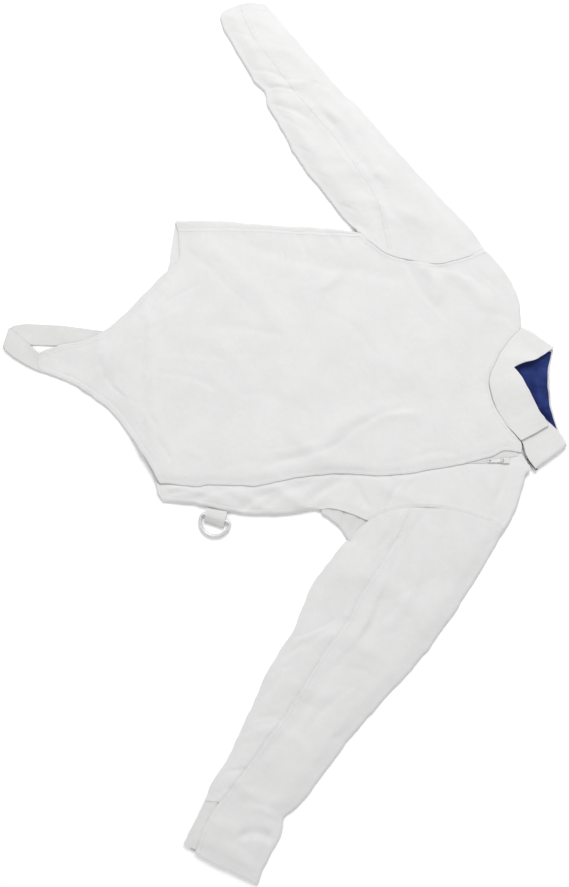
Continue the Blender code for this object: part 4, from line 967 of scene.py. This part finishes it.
def make_front_left():
    """Left front under the flap, with the strip that shows beside it."""
    patch = Patch(LEFT_HEM, [(LEFT_FRONT_NECK, 4), (LEFT_FRONT_SHOULDER, 6)], LEFT_HIDDEN,
                  LEFT_BORDER)
    plan = patch.at(with_edges(BODY_LENGTH, CELL, EDGE_STEPS, SIDE_STEPS),
                    with_edges(LEFT_WIDTH, CELL, None, SIDE_STEPS))
    item = shell("front_left_cloth", plan, left_front_height(plan), CLOTH, CLOTH_LOOK, -3)
    rows = [inset(LEFT_HEM, 5 * MM), inset(ARMHOLE_LEFT, 4.5 * MM), inset(LEFT_SIDE, 9 * MM)]
    sew("front_left_stitches", rows, left_front_height)
    dress(item, "cloth", "front_left")


def make_back():
    """Back: flat on the surface, folded onto the front along the right side."""
    patch = Patch(BACK_HEM, [(SHOULDER_RIGHT, 5), (BACK_NECK, 6), (SHOULDER_LEFT, 4)],
                  [(BACK_SIDE, 11), (ARMHOLE_RIGHT, 9)], LEFT_BORDER)
    ups = spread(BODY_LENGTH, CELL, 0.0, 1 - BACK_INSET / BODY_LENGTH)
    width = patch.width(ups)
    outline = patch.right.at(ups)
    reach = Border(FRONT_SIDE).at(np.minimum(ups / ARMPIT_AT, 1.0)) - outline
    length = np.linalg.norm(reach, axis=1, keepdims=True)
    lip = length - 2 * SEAM_GAP
    over = lip + (HALF_BODY - lip) * np.linspace(0.0, 1.0, 5)[None, :-1]
    inward, height = half_turn(FOLD_ANGLES, HALF_BODY)
    reaches = np.concatenate([over, np.broadcast_to(inward, (len(ups), len(inward)))], axis=1)
    curl = outline[:, None] + (reach / length)[:, None] * reaches[..., None]
    heights = np.concatenate([np.full(over.shape[1], BODY_TOP), height])[None]
    relief = seam(curl, FRONT_SIDE, 0.0, 31) + 0.5 * crumple(curl)
    heights = heights + relief * (heights > HALF_BODY) * (heights / BODY_TOP) ** 2
    rest = beside(near(curl, HEM_LINE), HEM_SINK_WIDTH)
    heights = heights * (1 - (1 - HEM_REST / BODY_TOP) * rest)
    start, stop = HALF_BODY / width, 1 - BACK_INSET / width
    below = patch.at(ups, start + (stop - start) * np.linspace(0.0, 1.0, 44)[None])
    plan, heights = joined((curl, heights), (below, 0.0))
    drop = np.zeros((plan.shape[0] - 1, plan.shape[1] - 1), bool)
    drop[ups[:-1] >= ARMPIT_AT - 0.5 * CELL / BODY_LENGTH, :curl.shape[1]] = True
    item = shell("back_cloth", plan, heights, CLOTH, BACK_LOOK, 2, flip=True, drop=drop)
    dress(item, "cloth", "back_panel")


# Sleeves

class Sleeve:
    """A sleeve laid flat: a tube whose plan runs from the armhole to the cuff."""

    def __init__(self, armhole, cuff, inner, outer, seam_line, armhole_line, tables, seed,
                 cuff_inset, seam_depth, fold_share, gusset_line=None):
        self.patch = Patch(armhole, cuff, inner, outer)
        self.cuff_line, self.inner_line, self.outer_line = cuff, inner, outer
        self.cuff_row = inset(cuff, cuff_inset)
        self.seam_line, self.seam_depth = seam_line, seam_depth
        self.armhole_line, self.gusset_line = armhole_line, gusset_line
        self.tables, self.fold_share, self.seed = tables, fold_share, seed

    def top(self, plan, felled=0.0):
        """Outer face of the upper layer at plan points, before its edges."""
        edge = near(plan, self.inner_line, self.outer_line)
        cuff = near(plan, self.cuff_line)
        fade = smoothstep((edge - HALF_BODY) / EDGE_FADE)
        close = smoothstep((edge - CLOSE_FROM) / CLOSE_SLOPE)
        large, small = self.tables
        height = BODY_TOP + fade * (SLEEVE_CROWN + LARGE_FOLDS * folds(large, plan))
        height += close * (self.fold_share * folds(small, plan) + crumple(plan, 1.1))
        from_body = smoothstep(near(plan, self.armhole_line) / SLEEVE_SINK_FROM)
        low = beside(np.minimum(edge, cuff), SLEEVE_SINK_WIDTH)
        height -= SLEEVE_SINK * low * from_body
        height += seam(plan, self.seam_line, felled, self.seed, 1.8, self.seam_depth)
        height += seam(plan, self.armhole_line, 0.0, self.seed + 9, 1.8)
        height += seam(plan, self.cuff_row, 0.0, self.seed + 5, 1.2, 0.3 * MM)
        if self.gusset_line is not None:
            height -= GUSSET_SEAM_DROP * beside(near(plan, self.gusset_line), GUSSET_SEAM_WIDTH)
        return height - quarter(cuff)

    def over_height(self, plan):
        """Outer face of the over piece, rounded down to the surface at the outer edge."""
        height = self.top(plan, 0.3)
        return height - quarter(near(plan, self.outer_line), SIDE_WIDTH, height - SIDE_FOOT)

    def seam_shares(self, alongs):
        """Shares across the sleeve where the seam on its upper face runs, as a column."""
        shares = np.linspace(0.02, 0.7, 137)
        gaps, _ = measure(self.seam_line[::2], self.patch.at(alongs, shares))
        found = shares[gaps.argmin(axis=1)]
        weights = np.array([1, 2, 3, 2, 1]) / 9
        return np.convolve(np.pad(found, 2, "edge"), weights, "valid")[:, None]

    def over(self, name, grain, flip):
        """Upper face from the seam to the outer edge."""
        alongs = with_edges(SLEEVE_LENGTH, CELL, None, EDGE_STEPS)
        width = self.patch.width(alongs)
        start = self.seam_shares(alongs) + SEAM_GAP / width
        steps = 1 - np.array(SIDE_STEPS)[::-1][None] / width
        body = start + (steps[:, :1] - start) * np.linspace(0, 1, 36)[None, :-1]
        plan = self.patch.at(alongs, np.concatenate([body, steps], axis=1))
        return shell(name, plan, self.over_height(plan), CLOTH, SLEEVE_LOOK, grain, flip=flip)

    def under(self, name, grain, flip, insert=False, drop_from=None):
        """From the seam round the inner edge and along the surface to the outer edge.

        The stretch insert is the part by the cuff, with a narrow strip below.
        """
        look, length = (STRETCH_LOOK, INSERT_LENGTH) if insert else (SLEEVE_LOOK, SLEEVE_LENGTH)
        alongs = with_edges(length, CELL, None, EDGE_STEPS)
        if insert:
            alongs = INSERT_AT + (INSERT_END - INSERT_AT) * alongs
        width = self.patch.width(alongs)
        seam_at = self.seam_shares(alongs) - SEAM_GAP / width
        fold_at = HALF_BODY / width
        above = self.patch.at(alongs, seam_at + (fold_at - seam_at)
                              * np.linspace(0, 1, 22)[None, :-1])
        inward, height = half_turn(FOLD_ANGLES, HALF_BODY)
        curl = self.patch.at(alongs, inward[None] / width)
        rim = self.top(self.patch.at(alongs, fold_at))
        stop, cells = (INSERT_UNDER / width, 4) if insert else (1 - BACK_INSET / width, 16)
        below = self.patch.at(alongs, fold_at + (stop - fold_at)
                              * np.linspace(0, 1, cells)[None])
        plan, heights = joined((above, self.top(above)), (curl, height[None] * rim / BODY_TOP),
                               (below, 0.0))
        drop = None
        if drop_from is not None:
            drop = np.zeros((plan.shape[0] - 1, plan.shape[1] - 1), bool)
            drop[alongs[:-1] >= drop_from, :above.shape[1] + curl.shape[1] + 1] = True
        return shell(name, plan, np.maximum(heights, 0.0), CLOTH, look, grain, flip, drop)


CUFF_ROW = 14 * MM
INSERT_AT = 0.862
INSERT_END = 0.993
INSERT_LENGTH = 66 * MM
INSERT_UNDER = 17 * MM
RIGHT_SLEEVE = Sleeve(ARMHOLE_RIGHT, RIGHT_CUFF, RIGHT_INNER, RIGHT_OUTER, RIGHT_SEAM,
                      ARMHOLE_RIGHT, (RIGHT_SLEEVE_FOLDS, RIGHT_SLEEVE_CREASES), 101,
                      -CUFF_ROW, 0.15 * MM, 0.5)
LEFT_SLEEVE = Sleeve([(SLEEVE_GUSSET_SEAM, 2), (ARMHOLE_LEFT, 11)], LEFT_CUFF, LEFT_INNER,
                     LEFT_OUTER, LEFT_SEAM, ARMHOLE_LEFT,
                     (LEFT_SLEEVE_FOLDS, LEFT_SLEEVE_CREASES), 131, CUFF_ROW, 0.8 * MM, 0.65,
                     SLEEVE_GUSSET_SEAM)


def make_sleeves():
    """Both sleeves in two pieces each, and the stretch insert of the left cuff."""
    dress(RIGHT_SLEEVE.over("sleeve_right_over_cloth", 52, False), "cloth", "sleeve_right_over")
    under = RIGHT_SLEEVE.under("sleeve_right_under_cloth", 56, True)
    settle(under)
    dress(under, "cloth", "sleeve_right_under")
    dress(LEFT_SLEEVE.over("sleeve_left_over_cloth", -44, True), "cloth", "sleeve_left_over")
    under = LEFT_SLEEVE.under("sleeve_left_under_cloth", -40, False,
                              drop_from=INSERT_AT - 0.4 * MM / SLEEVE_LENGTH)
    dress(under, "cloth", "sleeve_left_under")
    knit = LEFT_SLEEVE.under("cuff_insert_left_knit", -42, False, insert=True)
    dress(knit, "elastic", "cuff_insert_left")
    for side, sleeve, inward in (("right", RIGHT_SLEEVE, -6 * MM), ("left", LEFT_SLEEVE, 6 * MM)):
        rows = [inset(sleeve.seam_line, inward), inset(sleeve.seam_line, inward / 4),
                sleeve.cuff_row]
        sew(f"sleeve_{side}_stitches", rows, sleeve.over_height)


def make_gusset():
    """Underarm gusset of the left sleeve, folded once and lower than the front, its cloth painted
    darker as shade.
    """
    alongs = spread(GUSSET_LENGTH, CELL)
    tuck, fold, low = (Border(line).at(alongs)[:, None] for line in
                       (GUSSET_TUCK, GUSSET_FOLD, GUSSET_LOW))
    radius = GUSSET_TOP / 2
    way = (tuck - fold) / np.linalg.norm(tuck - fold, axis=-1, keepdims=True)
    turn = fold + way * radius
    inward, height = half_turn(FOLD_ANGLES, radius)
    above = tuck + (turn - tuck) * np.linspace(0, 1, 9)[None, :-1, None]
    below = turn + (low - turn) * np.linspace(0, 1, 8)[None, :, None]
    plan, heights = joined((above, GUSSET_TOP), (fold + way * inward[None, :, None], height),
                           (below, 0.0))
    crease = 0.8 * crumple(plan) + folds(GUSSET_CREASES, plan)
    heights = heights + crease * (heights > radius) * (heights / GUSSET_TOP) ** 2
    lift = 2.1 * MM * smoothstep((alongs - 0.8) / 0.14)[:, None]
    heights = lift + heights * (GUSSET_TOP - lift) / GUSSET_TOP
    item = shell("gusset_left_cloth", plan, heights, GUSSET_WALL, GUSSET_SHADED_LOOK, 30)
    dress(item, "cloth", "gusset_left")


# Collar

def eased(share, table):
    """Smooth heights through a table's points."""
    xs, ys = np.array(table).T
    index = np.clip(np.searchsorted(xs, share, "right") - 1, 0, len(xs) - 2)
    part = smoothstep((share - xs[index]) / (xs[index + 1] - xs[index]))
    return (ys[index] + (ys[index + 1] - ys[index]) * part) * MM


def make_collar_front():
    """Front band of the collar, from the fold at the right to its free end."""
    band = Patch(COLLAR_FOLD, COLLAR_END, NECK_FRONT,
                 [(COLLAR_EDGE_RIGHT, 6), (COLLAR_EDGE_LEFT, 8)])
    alongs = with_edges(COLLAR_LENGTH, COLLAR_CELL, SIDE_STEPS, EDGE_STEPS)
    ups = with_edges(COLLAR_DEPTH, COLLAR_CELL, (0.2 * MM, 0.6 * MM, 1.4 * MM), EDGE_STEPS)
    plan = band.at(alongs, ups)
    foot, rise = eased(alongs[:, None], BAND_FOOT), eased(alongs[:, None], BAND_RISE)
    height = foot + (rise - foot) * ups ** 0.8 + 0.5 * crumple(plan, 0.8)
    height -= quarter(near(plan, COLLAR_FOLD), SIDE_WIDTH, COLLAR_TOP / 2)
    edge = np.vstack([COLLAR_EDGE_RIGHT, COLLAR_EDGE_LEFT])
    height += seam(plan, inset(edge, -5 * MM), 0.0, 151, 0.6, 0.25 * MM)
    height -= quarter(near(plan, edge, COLLAR_END))
    height -= quarter(near(plan, NECK_FRONT), 1.5 * MM, 1.2 * MM)
    item = shell("collar_front_cloth", plan, height, COLLAR_WALL, COLLAR_LOOK, 20, flip=True)
    dress(item, "cloth", "collar_front")


def make_collar_back():
    """Back band on the surface, folded over at the left to lie under the free end."""
    floor = Patch(COLLAR_FOLD, COLLAR_LEFT_FOLD, COLLAR_BACK_SEAM, COLLAR_BACK_EDGE)
    wrap = Patch(COLLAR_LEFT_FOLD, COLLAR_WRAP_END, COLLAR_WRAP_LOW, COLLAR_WRAP_HIGH)
    radius = COLLAR_TOP / 2
    ups = with_edges(COLLAR_DEPTH, 2.5 * MM, EDGE_STEPS, EDGE_STEPS)
    first = spread(COLLAR_LENGTH, 4 * MM, 3 * MM / COLLAR_LENGTH, 1 - radius / COLLAR_LENGTH)
    inward, height = half_turn(FOLD_ANGLES[::-1], radius)
    under, over = height < radius, height >= radius
    last = spread(COLLAR_DEPTH, COLLAR_CELL, radius / COLLAR_DEPTH, 1.0)
    plan, heights = joined(
        (floor.at(first, ups), 0.0),
        (floor.at(1 - inward[under] / COLLAR_LENGTH, ups), height[under][:, None]),
        (wrap.at(inward[over] / COLLAR_DEPTH, ups), height[over][:, None]),
        (wrap.at(last[1:], ups), COLLAR_TOP), axis=0)
    heights += (heights >= COLLAR_TOP - 0.01 * MM) * 0.6 * crumple(plan)
    rounded = quarter(np.minimum(ups, 1 - ups)[None] * COLLAR_DEPTH)
    heights -= (heights > radius) * rounded
    heights += (heights < 0.5 * MM) * rounded
    item = shell("collar_back_cloth", plan, heights, COLLAR_WALL, COLLAR_LOOK, -30)
    dress(item, "cloth", "collar_back")


def make_lining():
    """Blue lining inside the neck, on the back and its band, and its edge as a dark strip that
    paints the shadow line under the collar's end.
    """
    patch = Patch(LINING_LOW, LINING_HIGH, LINING_RIGHT, LINING_LEFT)
    plan = patch.at(spread(85 * MM, 2 * MM), spread(170 * MM, 2 * MM))
    height = LINING_TOP + 0.5 * crumple(plan) + folds(LINING_CREASES, plan)
    item = shell("collar_lining_knit", plan, height, LINING_WALL, LINING_SHADE_SHEEN_LOOK, 10)
    # A narrow strip of dark lining along the low edge of the collar's folded end: painted shadow
    # line of that raised end.
    line = Border(LINING_SHADOW_EDGE).at(spread(22 * MM, 2 * MM))
    outward = np.array([0.55, -0.6, -3.0]) * MM
    plan = line[:, None] + np.array([0.55, -0.84]) * outward[None, :, None]
    height = np.broadcast_to(np.array([4.6, 5.3, 5.3]) * MM, plan.shape[:2])
    edge = shell("collar_lining_shadow_edge", plan, height, LINING_WALL, LINING_SHADE_SHEEN_LOOK, 10)
    dress(edge, "lining")
    dress(item, "lining", "collar_lining")


# Webbing, ring and zip

def make_strap():
    """Crotch webbing: out from the back hem, folded over and back to the tip."""
    def row(x0, y0, x1, y1, z):
        return [(x0, y0, z), (x1, y1, z)]

    x0, y0, x1, y1, top = STRAP_FOLD
    out = np.array([y1 - y0, x0 - x1]) / math.hypot(x1 - x0, y1 - y0)
    turned = []
    for inward, z in zip(*half_turn(range(0, 181, 15), top / 2)):
        dx, dy = -out * inward
        turned.append(row(x0 + dx, y0 + dy, x1 + dx, y1 + dy, z))
    keys = np.array([row(*entry) for entry in STRAP_OUT] + turned
                    + [row(*entry) for entry in STRAP_BACK])
    lengths = lengths_along(keys.mean(axis=1))
    marks = np.unique(np.concatenate([lengths, np.arange(0, lengths[-1], 2.5)]))
    right, left = (points_at(marks, lengths, keys[:, side])[:, None] for side in (0, 1))
    across = np.array([0, 0.012, 0.04, 0.1, 0.2, 0.35, 0.5, 0.65, 0.8, 0.9, 0.96, 0.988, 1.0])
    points = (right * (1 - across)[:, None] + left * across[:, None]) * MM
    share = np.interp(marks, lengths[-2:], (0.0, 1.0))[:, None]
    tip = STRAP_TIP[0] + (STRAP_TIP[1] - STRAP_TIP[0]) * across[:, None]
    tip = np.column_stack([tip, front_height(tip[None])[0]])
    points += share[..., None] ** 3 * (tip - points[-1])
    wavy = np.sin(marks / 19.0)[:, None] * np.cos(across * 5)[None] * 0.45 * MM
    points[..., 2] += wavy * (points[..., 2] > 3 * MM) * (1 - share)
    uv = np.stack(np.broadcast_arrays(across[None] * STRAP_WIDTH, marks[:, None] * MM), -1)
    dress(webbing("crotch_strap_webbing", points, uv, STRAP_WALL, 0.35 * MM), "webbing",
          "crotch_strap")


def make_ring_tab():
    """Webbing loop sewn in the left side, round the D-ring's bar."""
    along = np.array([math.sin(RING_TURN), math.cos(RING_TURN)])
    out = np.array([math.cos(RING_TURN), -math.sin(RING_TURN)])
    shares = np.linspace(0, 1, 15)[:, None]
    start = TAB_ROOT[0] + (TAB_ROOT[1] - TAB_ROOT[0]) * shares
    end = np.array(RING_BAR) + along * TAB_WIDTH * (shares - 0.5) + out * TAB_BEYOND_BAR
    profile = curve(*TAB_PROFILE, steps=6)
    plan = start[:, None] + (end - start)[:, None] * profile[:, :1] / MM
    heights = np.broadcast_to(np.maximum(profile[:, 1], 0.0), plan.shape[:2])
    points = np.concatenate([plan, heights[..., None]], axis=-1)
    travel = np.linspace(0, 75 * MM, len(profile))
    uv = np.stack(np.broadcast_arrays(travel[None], shares * TAB_WIDTH), -1)
    dress(webbing("dring_tab_webbing", points, uv, TAB_WALL, 0.3 * MM), "webbing", "dring_tab")


def make_ring():
    """D-ring bent from wire."""
    def arc(x, y, radius, degrees):
        turns = [math.radians(angle) for angle in degrees]
        return [(x + radius * math.cos(turn), y + radius * math.sin(turn)) for turn in turns]

    half, corner = RING_HALF_WIDTH, RING_CORNER
    points = [(0.0, (half - corner) * side) for side in np.linspace(-1, 1, 9)]
    points += arc(corner, half - corner, corner, range(165, 104, -15))
    points += arc(RING_DEPTH - half, 0.0, half, range(90, -91, -5))
    points += arc(corner, corner - half, corner, range(255, 194, -15))
    wire = bpy.data.curves.new("dring_wire", "CURVE")
    wire.dimensions = "3D"
    wire.bevel_depth = RING_WIRE
    wire.bevel_resolution = 6
    spline = wire.splines.new("POLY")
    spline.points.add(len(points) - 1)
    for spot, (x, y) in zip(spline.points, points):
        spot.co = (x, y, 0.0, 1.0)
        spot.radius = 1.0 + RING_SWELL * float(smoothstep((x - 4 * MM) / (6 * MM)))
    spline.use_cyclic_u = True
    wire.materials.append(RING_LOOK)
    item = add_object("dring_wire", wire)
    item.location = (*RING_BAR, RING_BAR_HEIGHT)
    item.rotation_euler = (0.0, RING_LIE, -RING_TURN)
    dress(item, "metal", "dring", body="ring")


def make_zip():
    """Zip tape with a low ridge along its middle for its teeth. The slider and its pull keep
    their solids' shapes and take the slider's paint.
    """
    line = Border(FLAP_EDGE)
    alongs = spread(TAPE_LENGTH, 4 * MM, 0.02, 0.992)
    step = line.at(np.minimum(alongs + 0.008, 1.0)) - line.at(alongs - 0.008)
    side = np.column_stack([step[:, 1], -step[:, 0]])
    side /= np.linalg.norm(step, axis=1, keepdims=True)
    shift = np.interp(alongs, *zip(*TAPE_SHIFT)) * MM
    offsets = np.array([-7, -6.4, -3, -1.6, 0, 1.6, 3, 6.4, 7]) * MM
    narrow = 1 - 0.55 * smoothstep((alongs - 0.965) / 0.03)
    reach = shift[:, None] + offsets[None] * narrow[:, None]
    plan = line.at(alongs)[:, None] + side[:, None] * reach[..., None]
    ridge = np.array([0, 0.1, 0.1, 0.25, 0.3, 0.25, 0.1, 0.1, 0]) * MM
    heights = np.broadcast_to(TAPE_TOP + ridge, plan.shape[:2])
    dress(shell("zip_tape_cloth", plan, heights, TAPE_WALL, TAPE_LOOK, 0), "zip", "zip_tape")
    for name in ("zip_slider", "zip_pull"):
        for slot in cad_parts[name].material_slots:
            slot.material = SLIDER_LOOK


# Floor, light and camera

def make_stage():
    """A plain pale floor under soft studio light."""
    bpy.ops.mesh.primitive_plane_add(size=14, location=(0, 0, -0.0006))
    floor = bpy.context.object
    floor.name = "floor"
    material, _, shader = base_material("floor_white", 0.9)
    shader.inputs["Base Color"].default_value = (0.97, 0.97, 0.97, 1)
    floor.data.materials.append(material)
    world = bpy.data.worlds.new("studio")
    bpy.context.scene.world = world
    world.use_nodes = True
    sky = world.node_tree.nodes["Background"]
    sky.inputs["Color"].default_value = (1.0, 1.0, 1.0, 1)
    sky.inputs["Strength"].default_value = 0.61
    for name, place, size, power in (("key", (-1.9, 0.45, 2.4), 1.5, 60),
                                     ("fill", (1.7, -1.1, 2.4), 2.4, 15)):
        light = bpy.data.lights.new(name, "AREA")
        light.shape = "DISK"
        light.size = size
        light.energy = power
        lamp = add_object(name, light)
        lamp.location = place
        lamp.rotation_euler = (-lamp.location).to_track_quat("-Z", "Y").to_euler()
    bpy.context.scene.view_settings.view_transform = "Standard"


def make_camera():
    """The camera above the jacket, with the collar to the right of the picture."""
    back = Vector((math.sin(CAMERA_TILT), 0.0, math.cos(CAMERA_TILT)))
    right = Vector((0.0, 1.0, 0.0))
    data = bpy.data.cameras.new("camera")
    data.lens = CAMERA_LENS
    data.sensor_width = 36.0
    data.clip_start = 0.05
    camera = add_object("camera", data)
    turn = Matrix((right, back.cross(right), back)).transposed().to_4x4()
    camera.matrix_world = Matrix.Translation(CAMERA_AIM + back * CAMERA_DISTANCE) @ turn
    bpy.context.scene.camera = camera


def main():
    """Build every piece."""
    for make in (make_camera, make_front_main, make_front_left, make_back, make_sleeves,
                 make_gusset, make_collar_front, make_collar_back, make_lining, make_strap,
                 make_ring_tab, make_ring, make_zip, make_stage):
        make()


main()
bpy.context.view_layer.update()
